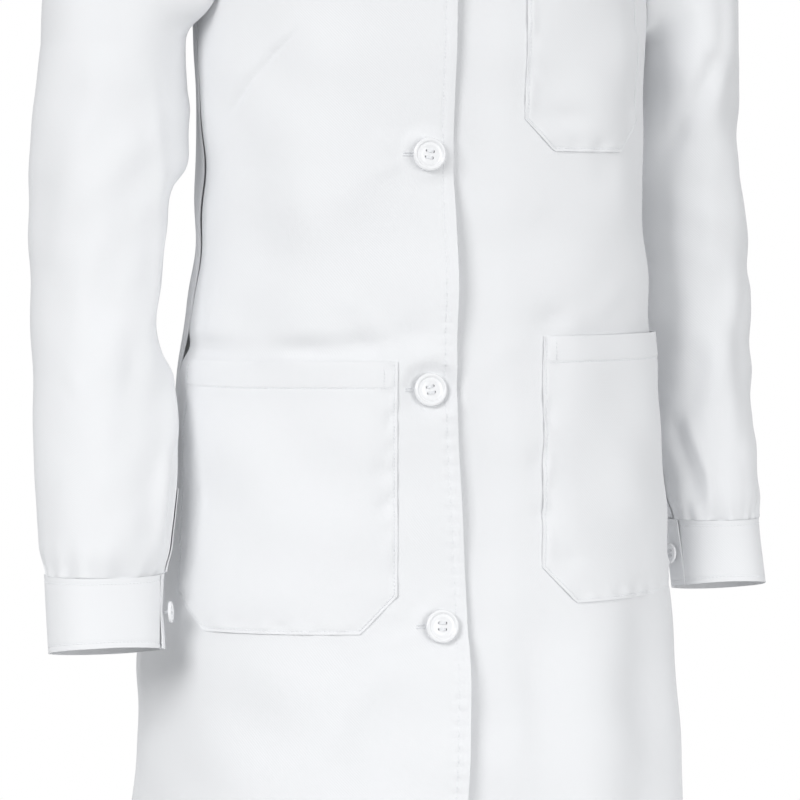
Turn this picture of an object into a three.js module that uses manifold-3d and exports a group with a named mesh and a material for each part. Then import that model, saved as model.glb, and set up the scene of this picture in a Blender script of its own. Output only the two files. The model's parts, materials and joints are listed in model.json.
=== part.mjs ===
// A woman's lab coat, buttoned right over left and hanging as it is worn, in millimetres.
// +Z is up and the front faces -Y, so the wearer's right side is at -X.
// Heights in this file are measured from the hem. The finished group is moved so that the
// hanger loop inside the back of the neck is at the origin.
import * as THREE from "three";
import { mergeVertices } from "three/addons/utils/BufferGeometryUtils.js";
import Module from "manifold-3d";

const wasm = await Module();
wasm.setup();

// ---- driving dimensions ----
const CLOTH = 1.2; // thickness of a panel as a solid, seams included
const FACING_CLOTH = 0.9;
const LAYER_GAP = 2; // air between two layers that lie on each other
const SEAM_GAP = 0.6; // air between two panels sewn edge to edge

const ARMPIT_HEIGHT = 765;
const BREAK_HEIGHT = 836; // where the lapels start to turn back
const NECK_POINT = { x: 66, height: 970 }; // inner end of the shoulder seam
const SHOULDER_POINT = { x: 182, height: 930 }; // outer end of the shoulder seam
const BACK_NECK_DEPTH = 62; // how far the back neckline is behind the shoulder seam
const FRONT_ARMHOLE_DIP = 15; // how far the armhole edges curve in between their ends
const BACK_ARMHOLE_DIP = 9;

// Button line of the closed coat, which hangs in a shallow curve: height, x.
const CLOSING_LINE = [
  [0, -16],
  [145, -15.5],
  [297, -12.5],
  [473, -20.5],
  [649, -24.5],
  [836, -23],
];
const OVERLAP = 20; // each front reaches this far past the button line
const FACING_WIDTH = 60;

const BUTTON = { radius: 12.5, thickness: 3.4, hole: 1.1, holeOffset: 2.4, standOff: 1.2 };
const CUFF_BUTTON = { radius: 8, thickness: 2.8, hole: 1.0, holeOffset: 1.9, standOff: 2.4 };
const TOP_BUTTON_HEIGHT = 825;
const BUTTON_SPACING = 176;
const BUTTON_COUNT = 4;
const BUTTONHOLE = { length: 27, width: 4.4 };
const CUFF_BUTTONHOLE = { length: 18, width: 4 };

// Patch pockets: the inner top corner is at x and height, tilt is how much the outer top corner
// is lower than the inner one.
const POCKETS = {
  right_hip_pocket: { hand: -1, x: -46, height: 494, width: 178, depth: 202, chamfer: 28, tilt: 0 },
  left_hip_pocket: { hand: 1, x: 70, height: 512, width: 178, depth: 202, chamfer: 28, tilt: 0 },
  left_chest_pocket: { hand: 1, x: 52, height: 794, width: 112, depth: 142, chamfer: 24, tilt: 0 },
};

// Torso rings, from the hem up: height, half width, half depth.
const TORSO = [
  [0, 224, 155],
  [157, 217, 147],
  [255, 212, 141],
  [385, 198, 127],
  [495, 186, 118],
  [575, 179, 113],
  [650, 177, 112],
  [765, 178, 113],
  [930, 185, 112],
];
// The coat hangs a little askew: height and how far it has swung to the wearer's left there.
const SWAY = [
  [0, -7],
  [255, -5],
  [385, -2],
  [495, 0],
  [575, 4],
  [765, 5],
  [1000, 5],
];
const RING_POWER = 2.3; // 2 is an ellipse, more is squarer
const DOME_POWER = 2.4; // how round the shoulders are

// Sleeve rings: height, centre x, centre y, half width, half depth. The wearer's right arm is
// bent forward a little and the left one hangs beside the hip.
const SLEEVE_RINGS = {
  right: [
    [735, -245, 2, 56, 55],
    [649, -247, 0, 61, 52],
    [575, -253, -6, 57, 51],
    [523, -255, -16, 53, 50],
    [430, -252, -44, 55, 47],
    [380, -254, -58, 51, 43],
    [336, -257, -70, 43, 33],
    [280, -257, -86, 41, 31],
  ],
  left: [
    [735, 223, 18, 41, 64],
    [650, 228, 40, 49, 60],
    [575, 237, 46, 49, 57],
    [494, 246, 45, 47, 54],
    [430, 248, 32, 46, 50],
    [392, 252, 22, 41, 45],
    [360, 256, 14, 37, 35],
    [306, 259, 0, 36, 33],
  ],
};
const CUFF_TOP_HEIGHT = { right: 336, left: 360 };
const CUFF_BOTTOM_HEIGHT = { right: 280, left: 306 };
const SLEEVE_SLACK = 3; // air between the armhole edges and the sleeve
const CUFF_EASE = 1.5; // how far a cuff stands out from the end of its sleeve
const CUFF_OVERLAP = 0.07; // share of a turn by which the ends of a cuff overlap
const CUFF_CLOSURE = 0.5; // where on the sleeve ring the closure is: 0 outer side, 0.5 inner, 0.75 front
const SLIT = { length: 62, width: 14 };

const LAPEL = { width: 72, height: 92, lift: 2.6 };
const COLLAR = { standHeight: 26, fallWidth: 50, backFall: 34, lift: 9 };
const LOOP = { width: 46, drop: 12, radius: 1.6 };

// ---- materials ----
const cloth = new THREE.MeshStandardMaterial({ color: 0xf2f3f5, roughness: 0.85, metalness: 0 });
const facingCloth = new THREE.MeshStandardMaterial({ color: 0xe9ebee, roughness: 0.88, metalness: 0 });
const plastic = new THREE.MeshStandardMaterial({ color: 0xf4f4f6, roughness: 0.3, metalness: 0 });
const yarn = new THREE.MeshStandardMaterial({ color: 0xefeff1, roughness: 0.7, metalness: 0 });
const tape = new THREE.MeshStandardMaterial({ color: 0xe4e6ea, roughness: 0.8, metalness: 0 });

// ---- small mathematics ----
const vec = (x, y, z) => new THREE.Vector3(x, y, z);
const lerp = THREE.MathUtils.lerp;
const clamp01 = (t) => THREE.MathUtils.clamp(t, 0, 1);
const smooth = (t) => THREE.MathUtils.smoothstep(t, 0, 1);

// A smooth function through rows of [height, value, value, ...]: gives the values at a height.
function through(rows) {
  const table = [...rows].sort((a, b) => a[0] - b[0]);
  const slope = (i, k) => {
    const lo = table[Math.max(0, i - 1)];
    const hi = table[Math.min(table.length - 1, i + 1)];
    return (hi[k] - lo[k]) / (hi[0] - lo[0]);
  };
  return (height) => {
    let i = 0;
    while (i < table.length - 2 && height > table[i + 1][0]) i += 1;
    const [a, b] = [table[i], table[i + 1]];
    const span = b[0] - a[0];
    const t = clamp01((height - a[0]) / span);
    const rise = t * t * (3 - 2 * t);
    const leave = t * (1 - t) ** 2 * span;
    const arrive = t * t * (t - 1) * span;
    return a.slice(1).map((_, n) => {
      const k = n + 1;
      return lerp(a[k], b[k], rise) + leave * slope(i, k) + arrive * slope(i + 1, k);
    });
  };
}

// ---- the torso surface ----
const torsoRing = through(TORSO);
const swayAt = through(SWAY);

// Height of the shoulder seam at a place x, carried on in a straight line across the neck.
function shoulderHeight(x) {
  const out = (Math.abs(x) - NECK_POINT.x) / (SHOULDER_POINT.x - NECK_POINT.x);
  return lerp(NECK_POINT.height, SHOULDER_POINT.height, out);
}

// How far the torso reaches forward and back from the shoulder line at a place x and a height.
function torsoDepth(x, height) {
  const [halfWidth, halfDepth] = torsoRing(height);
  const side = Math.min(1, Math.abs(x) / halfWidth);
  const flat = (1 - side ** RING_POWER) ** (1 / RING_POWER);
  const up = clamp01((height - ARMPIT_HEIGHT) / (shoulderHeight(x) - ARMPIT_HEIGHT));
  return halfDepth * flat * (1 - up ** DOME_POWER) ** (1 / DOME_POWER);
}

const onFront = (x, height) => vec(x, -torsoDepth(x, height), height);

// The height at which the shoulders are a given depth away from the shoulder line.
function heightAtDepth(x, depth) {
  let [low, high] = [ARMPIT_HEIGHT, shoulderHeight(x)];
  for (let n = 0; n < 30; n += 1) {
    const middle = (low + high) / 2;
    if (torsoDepth(x, middle) > depth) low = middle;
    else high = middle;
  }
  return low;
}

// Outward direction of the front surface.
function frontNormal(x, height) {
  const step = 2;
  const alongX = (torsoDepth(x + step, height) - torsoDepth(x - step, height)) / (2 * step);
  const alongZ = (torsoDepth(x, height + step) - torsoDepth(x, height - step)) / (2 * step);
  return vec(-alongX, -1, -alongZ).normalize();
}

// The side value of a place x: -1 at the right side seam, 1 at the left one, even round the ring.
function sideAt(x, height) {
  const share = Math.min(1, Math.abs(x) / torsoRing(height)[0]);
  return (Math.sign(x) * Math.asin(share ** (RING_POWER / 2))) / (Math.PI / 2);
}

function xAtSide(side, height) {
  const share = Math.abs(Math.sin((side * Math.PI) / 2)) ** (2 / RING_POWER);
  return torsoRing(height)[0] * Math.sign(side) * share;
}

// The place x that is a given distance round the front from another one, towards a hand.
function xRoundFront(startX, distance, hand, height) {
  const stride = 0.004 * hand;
  let side = sideAt(startX, height);
  let left = distance;
  for (;;) {
    const here = onFront(xAtSide(side, height), height);
    const step = here.distanceTo(onFront(xAtSide(side + stride, height), height));
    if (step >= left || Math.abs(side + stride) >= 1) return xAtSide(side + (stride * left) / step, height);
    side += stride;
    left -= step;
  }
}

// ---- solids from surfaces ----

// A geometry from points and triangles, turned so that its faces point out.
function facingOut(points, index) {
  const triangles = [...index];
  let volume = 0;
  for (let n = 0; n < index.length; n += 3) {
    const [a, b, c] = index.slice(n, n + 3).map((i) => points[i]);
    volume += a.dot(b.clone().cross(c));
  }
  if (volume < 0) triangles.reverse();
  return new THREE.BufferGeometry().setFromPoints(points).setIndex(triangles);
}

// A closed solid of cloth. surface(u, v) is its outer side, with u and v from 0 to 1, and outward
// the sign that turns the cross product of u and v away from the wearer. The cloth starts a
// distance sink below the surface. A round one closes on itself in u.
function clothSolid(surface, { columns, rows, thickness = CLOTH, sink = 0, outward = 1, round = false }) {
  const around = round ? columns : columns + 1;
  const outer = [];
  const inner = [];
  const nudge = 2e-3;
  for (let j = 0; j <= rows; j += 1) {
    for (let i = 0; i < around; i += 1) {
      const [u, v] = [i / columns, j / rows];
      const [u0, u1] = round ? [u - nudge, u + nudge] : [clamp01(u - nudge), clamp01(u + nudge)];
      const [v0, v1] = [clamp01(v - nudge), clamp01(v + nudge)];
      const alongU = surface(u1, v).sub(surface(u0, v));
      const alongV = surface(u, v1).sub(surface(u, v0));
      const normal = alongU.cross(alongV).normalize().multiplyScalar(outward);
      outer.push(surface(u, v).addScaledVector(normal, -sink));
      inner.push(surface(u, v).addScaledVector(normal, -sink - thickness));
    }
  }
  const at = (layer, i, j) => layer * outer.length + j * around + (i % around);
  const index = [];
  const quad = (a, b, c, d) => index.push(a, b, c, a, c, d);
  for (let j = 0; j < rows; j += 1) {
    for (let i = 0; i < columns; i += 1) {
      quad(at(0, i, j), at(0, i + 1, j), at(0, i + 1, j + 1), at(0, i, j + 1));
      quad(at(1, i, j), at(1, i, j + 1), at(1, i + 1, j + 1), at(1, i + 1, j));
    }
    if (!round) {
      quad(at(0, 0, j), at(0, 0, j + 1), at(1, 0, j + 1), at(1, 0, j));
      quad(at(0, columns, j), at(1, columns, j), at(1, columns, j + 1), at(0, columns, j + 1));
    }
  }
  for (let i = 0; i < columns; i += 1) {
    quad(at(0, i, 0), at(1, i, 0), at(1, i + 1, 0), at(0, i + 1, 0));
    quad(at(0, i, rows), at(0, i + 1, rows), at(1, i + 1, rows), at(1, i, rows));
  }
  return facingOut([...outer, ...inner], index);
}

function toManifold(geometry) {
  const bare = geometry.clone();
  bare.deleteAttribute("normal");
  bare.deleteAttribute("uv");
  const merged = mergeVertices(bare, 1e-4);
  const vertProperties = new Float32Array(merged.attributes.position.array);
  const triVerts = new Uint32Array(merged.index.array);
  return new wasm.Manifold(new wasm.Mesh({ numProp: 3, vertProperties, triVerts }));
}

function toGeometry(solid) {
  const mesh = solid.getMesh();
  const geometry = new THREE.BufferGeometry();
  geometry.setAttribute("position", new THREE.BufferAttribute(new Float32Array(mesh.vertProperties), 3));
  geometry.setIndex(new THREE.BufferAttribute(new Uint32Array(mesh.triVerts), 1));
  return geometry;
}

const minus = (geometry, cutters) =>
  toGeometry(cutters.reduce((solid, cutter) => solid.subtract(toManifold(cutter)), toManifold(geometry)));

const union = (geometries) =>
  toGeometry(geometries.map(toManifold).reduce((solid, other) => solid.add(other)));

// A frame on a surface: z points out of it along the normal, y as far up as it can.
function frameOn(at, normal) {
  const up = vec(0, 0, 1).addScaledVector(normal, -normal.z).normalize();
  return new THREE.Matrix4().makeBasis(up.clone().cross(normal), up, normal).setPosition(at);
}

// ---- the group ----
const coat = new THREE.Group();

// Shears a geometry by the sway of the coat.
function swayed(geometry) {
  const place = geometry.attributes.position;
  for (let n = 0; n < place.count; n += 1) place.setX(n, place.getX(n) + swayAt(place.getZ(n))[0]);
  return geometry;
}

const addCloth = (name, geometry, material) => add(name, swayed(geometry), material);

function add(name, geometry, material) {
  geometry.computeVertexNormals();
  const mesh = new THREE.Mesh(geometry, material);
  mesh.name = name;
  coat.add(mesh);
}

// ---- body panels ----
const PANEL_GRID = { columns: 8, rows: 16 };
const ARMPIT_ROW = 8 / 16; // share of the rows of a panel that is below the armpit

// How far up the shoulder a row is. The rows crowd towards the top, where the shoulder is round.
function upShoulder(v) {
  const share = clamp01((v - ARMPIT_ROW) / (1 - ARMPIT_ROW));
  return Math.sin((share * Math.PI) / 2);
}

// Edge of the armhole, as a place x at a share of the way up the shoulder.
function armholeX(up, dip) {
  const curve = Math.sin(Math.PI * up ** 0.62);
  return lerp(torsoRing(ARMPIT_HEIGHT)[0], SHOULDER_POINT.x, up) - dip * curve;
}

// A point of a panel between its outer and inner edges. Rows are level below the armpit and fan
// out to the top edge above it.
function panelPoint(u, v, { hand, facing, innerX, dip, top }) {
  const up = upShoulder(v);
  let x = 0;
  let height = (ARMPIT_HEIGHT * v) / ARMPIT_ROW;
  if (up > 0) {
    x = lerp(hand * armholeX(up, dip), innerX, u);
    height = lerp(ARMPIT_HEIGHT, top(x), up);
  } else {
    x = xAtSide(lerp(hand, sideAt(innerX, height), u), height);
  }
  return vec(x, facing * (torsoDepth(x, height) + SEAM_GAP / 2), height);
}

// x of the button line at a height.
const closingLine = through(CLOSING_LINE);
const closingX = (height) => closingLine(height)[0];

// Free edge of a front below the break: the right front laps over the left one.
function frontEdgeX(hand, height) {
  return closingX(Math.min(height, BREAK_HEIGHT)) - hand * OVERLAP;
}

// Frame on the button line, z along the outward normal of the front.
function closingFrame(height) {
  const x = closingX(height);
  return frameOn(onFront(x, height), frontNormal(x, height));
}

// A front. Its free edge follows the roll line of the lapel above the break.
function frontPanel(hand) {
  const breakUp = (BREAK_HEIGHT - ARMPIT_HEIGHT) / (NECK_POINT.height - ARMPIT_HEIGHT);
  return (u, v) => {
    const turn = clamp01((upShoulder(v) - breakUp) / (1 - breakUp));
    const height = Math.min(BREAK_HEIGHT, (ARMPIT_HEIGHT * v) / ARMPIT_ROW);
    const innerX = lerp(frontEdgeX(hand, height), hand * NECK_POINT.x, turn);
    return panelPoint(u, v, { hand, facing: -1, innerX, dip: FRONT_ARMHOLE_DIP, top: shoulderHeight });
  };
}

// How far the left front sinks at a place x to pass under the right one and its facing.
function underlap(x, height) {
  const below = CLOTH + FACING_CLOTH + 2 * LAYER_GAP;
  return below * smooth((frontEdgeX(-1, height) + 46 - x) / 40);
}

function leftFrontPanel(u, v) {
  const at = frontPanel(1)(u, v);
  return at.addScaledVector(frontNormal(at.x, at.z), -underlap(at.x, at.z));
}

// Top of the back: the shoulder seam, and inside it the neckline, which is an arc.
function backTop(x) {
  const across = Math.abs(x) / NECK_POINT.x;
  return across >= 1 ? shoulderHeight(x) : heightAtDepth(x, BACK_NECK_DEPTH * Math.sqrt(1 - across ** 2));
}

// A back half, from the side seam to the centre back seam.
function backPanel(hand) {
  const innerX = (hand * SEAM_GAP) / 2;
  return (u, v) => panelPoint(u, v, { hand, facing: 1, innerX, dip: BACK_ARMHOLE_DIP, top: backTop });
}

const buttonHeights = Array.from({ length: BUTTON_COUNT }, (_, n) => TOP_BUTTON_HEIGHT - n * BUTTON_SPACING);

// The slots of the buttonholes. Each button sits near the end of its slot.
function buttonholes() {
  const past = BUTTONHOLE.width / 2 + 1;
  return buttonHeights.map((height) => {
    const slot = new THREE.BoxGeometry(BUTTONHOLE.length, BUTTONHOLE.width, 14);
    slot.translate(past - BUTTONHOLE.length / 2, 0, 0);
    return slot.applyMatrix4(closingFrame(height));
  });
}

function addBodyPanels() {
  const rightFront = clothSolid(frontPanel(-1), PANEL_GRID);
  addCloth("right_front", minus(rightFront, buttonholes()), cloth);
  addCloth("left_front", clothSolid(leftFrontPanel, { ...PANEL_GRID, outward: -1 }), cloth);
  addCloth("right_back", clothSolid(backPanel(-1), { ...PANEL_GRID, outward: -1 }), cloth);
  addCloth("left_back", clothSolid(backPanel(1), PANEL_GRID), cloth);
}

// ---- facings: the strips inside the front edges, up to the break of the lapel ----
function facingSurface(hand) {
  return (u, v) => {
    const height = lerp(4, BREAK_HEIGHT - 15, v);
    const x = frontEdgeX(hand, height) + hand * lerp(FACING_WIDTH, 2, u);
    const under = hand < 0 ? 0 : underlap(x, height);
    return onFront(x, height).addScaledVector(frontNormal(x, height), -under);
  };
}

function addFacings() {
  const strip = { columns: 3, rows: 14, thickness: FACING_CLOTH, sink: CLOTH + LAYER_GAP };
  const right = clothSolid(facingSurface(-1), strip);
  addCloth("right_facing", minus(right, buttonholes()), facingCloth);
  addCloth("left_facing", clothSolid(facingSurface(1), { ...strip, outward: -1 }), facingCloth);
}

// ---- lapels: they turn back on the fronts along the roll line ----
function rollLineX(hand, height) {
  const turn = (height - BREAK_HEIGHT) / (NECK_POINT.height - BREAK_HEIGHT);
  return lerp(frontEdgeX(hand, BREAK_HEIGHT), hand * NECK_POINT.x, turn);
}

// The left lapel comes out from under the right one where the roll lines cross.
function lapelStart(hand) {
  let height = BREAK_HEIGHT + 4;
  while (hand > 0 && rollLineX(1, height) < rollLineX(-1, height) + 3) height += 1;
  return height;
}

function lapelSurface(hand) {
  const low = lapelStart(hand);
  const high = BREAK_HEIGHT + LAPEL.height;
  return (u, v) => {
    const share = v ** 0.8;
    const edgeHeight = lerp(low, high, v) + 16 * u * v;
    const width = lerp(4, LAPEL.width, share);
    const x = rollLineX(hand, lerp(low, high, v)) + hand * width * u;
    const roll = 1 - u * 0.4;
    return onFront(x, edgeHeight).addScaledVector(frontNormal(x, edgeHeight), LAPEL.lift + CLOTH * roll);
  };
}

function addLapels() {
  const grid = { columns: 5, rows: 7 };
  addCloth("right_lapel", clothSolid(lapelSurface(-1), { ...grid, outward: -1 }), cloth);
  addCloth("left_lapel", clothSolid(lapelSurface(1), grid), cloth);
}

// ---- collar ----
const BACK_SHARE = 0.66; // share of the collar behind the shoulder seams
const STAND_SHARE = 0.8; // share of the collar that has a stand
const COLLAR_FRONT_HEIGHT = 928;

// The neck edge of the collar, from the right front (t = -1) round the back to the left (t = 1).
function neckEdge(t) {
  const hand = Math.sign(t) || 1;
  if (Math.abs(t) <= BACK_SHARE) {
    const angle = ((t / BACK_SHARE) * Math.PI) / 2;
    const x = NECK_POINT.x * Math.sin(angle);
    const depth = BACK_NECK_DEPTH * Math.cos(angle);
    return vec(x, depth, heightAtDepth(x, depth));
  }
  const down = (Math.abs(t) - BACK_SHARE) / (1 - BACK_SHARE);
  const height = lerp(NECK_POINT.height, COLLAR_FRONT_HEIGHT, down ** 2);
  const x = rollLineX(hand, height);
  return onFront(x, height);
}

// The free edge of the collar, along the same run.
function fallEdge(t) {
  const hand = Math.sign(t) || 1;
  const reach = NECK_POINT.x + COLLAR.fallWidth;
  if (Math.abs(t) <= BACK_SHARE) {
    const angle = ((t / BACK_SHARE) * Math.PI) / 2;
    const x = reach * Math.sin(angle);
    const depth = (BACK_NECK_DEPTH + COLLAR.backFall) * Math.cos(angle);
    return vec(x, depth, heightAtDepth(x, depth) + COLLAR.lift);
  }
  const down = (Math.abs(t) - BACK_SHARE) / (1 - BACK_SHARE);
  const x = hand * lerp(reach, reach - 12, down);
  const height = lerp(shoulderHeight(reach), COLLAR_FRONT_HEIGHT - 4, down ** 2);
  const lift = vec(0, 0, COLLAR.lift).lerp(frontNormal(x, height).multiplyScalar(COLLAR.lift), smooth(down));
  return onFront(x, height).add(lift);
}

const towardsFront = (t) => smooth((Math.abs(t) - BACK_SHARE) / (STAND_SHARE - BACK_SHARE));

// The stand rises from the neck edge and tapers out a little in front of the shoulder seams.
function standPoint(t, v) {
  const foot = neckEdge(t).add(vec(0, 0, 1.4));
  const taper = towardsFront(t);
  const rise = vec(-0.14 * foot.x, -0.14 * foot.y, COLLAR.standHeight * (1 - 0.75 * taper));
  return foot.addScaledVector(rise, v);
}

const collarStand = (u, v) => standPoint(lerp(-STAND_SHARE, STAND_SHARE, u), v);

function collarFall(u, v) {
  const t = lerp(-1, 1, u);
  const top = standPoint(t, 1).add(vec(0, -9 * towardsFront(t), 2 + 3 * towardsFront(t)));
  const end = fallEdge(t);
  const outwards = end.clone().sub(top).setZ(0).normalize();
  top.addScaledVector(outwards, 3.5);
  const bend = top.clone().lerp(end, 0.4).add(vec(0, 0, 9));
  const first = top.lerp(bend, v);
  return first.lerp(bend.clone().lerp(end, v), v);
}

function addCollar() {
  addCloth("collar_stand", clothSolid(collarStand, { columns: 20, rows: 2 }), cloth);
  addCloth("collar", clothSolid(collarFall, { columns: 24, rows: 4, outward: -1 }), cloth);
}

// ---- pockets: patches on the fronts with their lower corners cut off ----
function pocketSurface({ hand, x: innerX, height: top, width, depth, chamfer, tilt }) {
  return (u, v) => {
    const across = u * width;
    const toCorner = Math.min(across, width - across);
    const low = Math.max(0, chamfer - toCorner);
    const height = lerp(top - depth + low, top - tilt * u, v);
    const x = xRoundFront(innerX, across, hand, height);
    const sunk = hand > 0 ? underlap(x, height) : 0;
    const rise = LAYER_GAP + CLOTH - sunk;
    return onFront(x, height).addScaledVector(frontNormal(x, height), rise);
  };
}

function addPockets() {
  for (const [name, pocket] of Object.entries(POCKETS)) {
    const surface = pocketSurface(pocket);
    addCloth(name, clothSolid(surface, { columns: 7, rows: 5, outward: -pocket.hand }), cloth);
  }
}

// ---- sleeves ----
const SLEEVE_GRID = { columns: 16, rows: 14, round: true };
const SLEEVE_ROW = 8 / 14; // share of the rows of a sleeve that is below the sleeve head
const sleeveRing = { right: through(SLEEVE_RINGS.right), left: through(SLEEVE_RINGS.left) };
const handOf = { right: -1, left: 1 };

// A point of a sleeve ring: turn is 0 on the outer side, 0.25 at the back and 0.75 in front.
function ringPoint(side, turn, height, ease = 0) {
  const [x, y, halfWidth, halfDepth] = sleeveRing[side](height);
  const angle = turn * 2 * Math.PI;
  const out = handOf[side] * (halfWidth + ease) * Math.cos(angle);
  return vec(x + out, y + (halfDepth + ease) * Math.sin(angle), height);
}

// The armhole edge that the sleeve head is sewn to, at the same turns.
function armholePoint(side, turn) {
  const angle = turn * 2 * Math.PI;
  const up = (1 + Math.cos(angle)) / 2;
  const dip = Math.sin(angle) > 0 ? BACK_ARMHOLE_DIP : FRONT_ARMHOLE_DIP;
  const x = armholeX(up, dip);
  const height = lerp(ARMPIT_HEIGHT, shoulderHeight(x), up);
  const depth = Math.sign(Math.sin(angle)) * torsoDepth(x, height);
  return vec(handOf[side] * (x + SLEEVE_SLACK), depth, height);
}

function sleeveSurface(side) {
  const low = CUFF_TOP_HEIGHT[side] + SEAM_GAP / 2;
  const high = SLEEVE_RINGS[side][0][0];
  return (u, v) => {
    if (v <= SLEEVE_ROW) return ringPoint(side, u, lerp(low, high, v / SLEEVE_ROW));
    const start = ringPoint(side, u, high);
    const end = armholePoint(side, u);
    const reach = 0.45 * start.distanceTo(end);
    const over = (1 + Math.cos(u * 2 * Math.PI)) / 2;
    const arrive = vec(-handOf[side] * over, 0, 1 - 0.65 * over).normalize();
    const up = start.clone().add(vec(0, 0, reach));
    const before = end.clone().addScaledVector(arrive, -reach);
    const curve = new THREE.CubicBezierCurve3(start, up, before, end);
    return curve.getPoint((v - SLEEVE_ROW) / (1 - SLEEVE_ROW));
  };
}

// A cuff is a band whose ends overlap at the closure, so its radius grows a little along it.
function cuffSurface(side) {
  const top = CUFF_TOP_HEIGHT[side] - SEAM_GAP / 2;
  return (u, v) => {
    const turn = CUFF_CLOSURE + u * (1 + CUFF_OVERLAP);
    const ease = CUFF_EASE + (CLOTH + LAYER_GAP) * smooth((u - 0.72) / 0.2);
    return ringPoint(side, turn, lerp(CUFF_BOTTOM_HEIGHT[side], top, v), ease);
  };
}

// The bound edge of the slit above each cuff closure.
function slitBinding(side) {
  return (u, v) => {
    const low = CUFF_TOP_HEIGHT[side] + 2;
    const height = low + v * SLIT.length;
    const [, , , halfDepth] = sleeveRing[side](height);
    const share = SLIT.width / (2 * Math.PI * halfDepth);
    return ringPoint(side, CUFF_CLOSURE + (u - 0.1) * share, height, LAYER_GAP + FACING_CLOTH);
  };
}

function cuffButtonFrame(side) {
  const surface = cuffSurface(side);
  const u = 1 - (0.42 * CUFF_OVERLAP) / (1 + CUFF_OVERLAP);
  const v = 0.5;
  const alongU = surface(u + 1e-3, v).sub(surface(u - 1e-3, v));
  const alongV = surface(u, v + 1e-3).sub(surface(u, v - 1e-3));
  const normal = alongU.cross(alongV).multiplyScalar(handOf[side]).normalize();
  return frameOn(surface(u, v), normal);
}

function cuffButtonhole(side) {
  const past = CUFF_BUTTONHOLE.width / 2 + 1;
  const slot = new THREE.BoxGeometry(CUFF_BUTTONHOLE.length, CUFF_BUTTONHOLE.width, 2 * CLOTH + LAYER_GAP);
  const towards = handOf[side];
  slot.translate(towards * (past - CUFF_BUTTONHOLE.length / 2), 0, 0);
  return slot.applyMatrix4(cuffButtonFrame(side));
}

function addSleeves() {
  for (const side of ["right", "left"]) {
    const outward = handOf[side];
    addCloth(`${side}_sleeve`, clothSolid(sleeveSurface(side), { ...SLEEVE_GRID, outward }), cloth);
    const cuff = clothSolid(cuffSurface(side), { columns: 26, rows: 2, outward });
    addCloth(`${side}_cuff`, minus(cuff, [cuffButtonhole(side)]), cloth);
    const binding = { columns: 2, rows: 4, thickness: FACING_CLOTH, outward };
    addCloth(`${side}_slit_binding`, clothSolid(slitBinding(side), binding), facingCloth);
  }
}

// ---- buttons ----
function holePlaces({ holeOffset }) {
  return [[1, 1], [1, -1], [-1, 1], [-1, -1]].map(([a, b]) => [a * holeOffset, b * holeOffset]);
}

// A round button with a raised rim and four holes, its underside at z = standOff.
function buttonGeometry(size) {
  const { radius, thickness, hole, standOff } = size;
  const profile = [
    [0, 0],
    [0.8 * radius, 0],
    [radius, 0.4 * thickness],
    [0.95 * radius, 0.85 * thickness],
    [0.84 * radius, thickness],
    [0.68 * radius, 0.72 * thickness],
    [0, 0.66 * thickness],
  ].map(([r, z]) => new THREE.Vector2(r, z));
  const disc = new THREE.LatheGeometry(profile, 18).rotateX(Math.PI / 2).translate(0, 0, standOff);
  const holes = holePlaces(size).map(([x, y]) => upright(hole, standOff - 1, standOff + thickness + 1, x, y));
  return minus(disc, holes);
}

// A cylinder along z between two heights.
function upright(radius, low, high, x = 0, y = 0) {
  const geometry = new THREE.CylinderGeometry(radius, radius, high - low, 6);
  return geometry.rotateX(Math.PI / 2).translate(x, y, (low + high) / 2);
}

// The thread of a button: a shank down to the layer below, a plate under the button, four posts
// through its holes and two bars across its face.
function threadGeometry(size, depth) {
  const { thickness, hole, holeOffset, standOff } = size;
  const post = hole - 0.35;
  const face = standOff + 0.66 * thickness + 0.35;
  const plateTop = standOff - 0.3;
  const plate = new THREE.BoxGeometry(2 * holeOffset, 2 * holeOffset, 0.5);
  plate.translate(0, 0, plateTop - 0.25);
  const posts = holePlaces(size).map(([x, y]) => upright(post, plateTop - 0.4, face + 0.5, x, y));
  const bars = [-1, 1].map((hand) => {
    const bar = new THREE.BoxGeometry(2 * holeOffset + 1.2 * post, 1.3 * post, 0.6);
    return bar.translate(0, hand * holeOffset, face + 0.3);
  });
  const shank = upright(1.2, -depth, plateTop - 0.2);
  return union([shank, plate, ...posts, ...bars]);
}

function addButton(name, size, frame, depth) {
  frame.premultiply(new THREE.Matrix4().makeTranslation(swayAt(frame.elements[14])[0], 0, 0));
  add(name, buttonGeometry(size).applyMatrix4(frame), plastic);
  add(`${name}_thread`, threadGeometry(size, depth).applyMatrix4(frame), yarn);
}

function addButtons() {
  const shankDepth = CLOTH + FACING_CLOTH + 2 * LAYER_GAP - 0.5;
  buttonHeights.forEach((height, n) => {
    addButton(`front_button_${n + 1}`, BUTTON, closingFrame(height), shankDepth);
  });
  for (const side of ["right", "left"]) {
    addButton(`${side}_cuff_button`, CUFF_BUTTON, cuffButtonFrame(side), CLOTH + LAYER_GAP - 0.5);
  }
}

// ---- hanger loop: a cord in a shallow curve inside the back of the neck ----
function loopCentre(t) {
  const across = LOOP.width * (t - 0.5);
  const foot = neckEdge((across / NECK_POINT.x) * 0.4);
  const drop = LOOP.drop * 4 * t * (1 - t);
  return vec(across, foot.y - 9, foot.z + 13 - drop);
}

function addHangerLoop() {
  const path = (t) => loopCentre(clamp01(t));
  const surface = (u, v) => {
    const along = path(v + 0.01).sub(path(v - 0.01)).normalize();
    const side = vec(0, 1, 0);
    const other = along.clone().cross(side);
    const angle = u * 2 * Math.PI;
    const offset = side.multiplyScalar(Math.cos(angle)).addScaledVector(other, Math.sin(angle));
    return path(v).addScaledVector(offset, LOOP.radius);
  };
  addCloth("hanger_loop", cordSolid(surface, 8, 12), tape);
}

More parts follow.
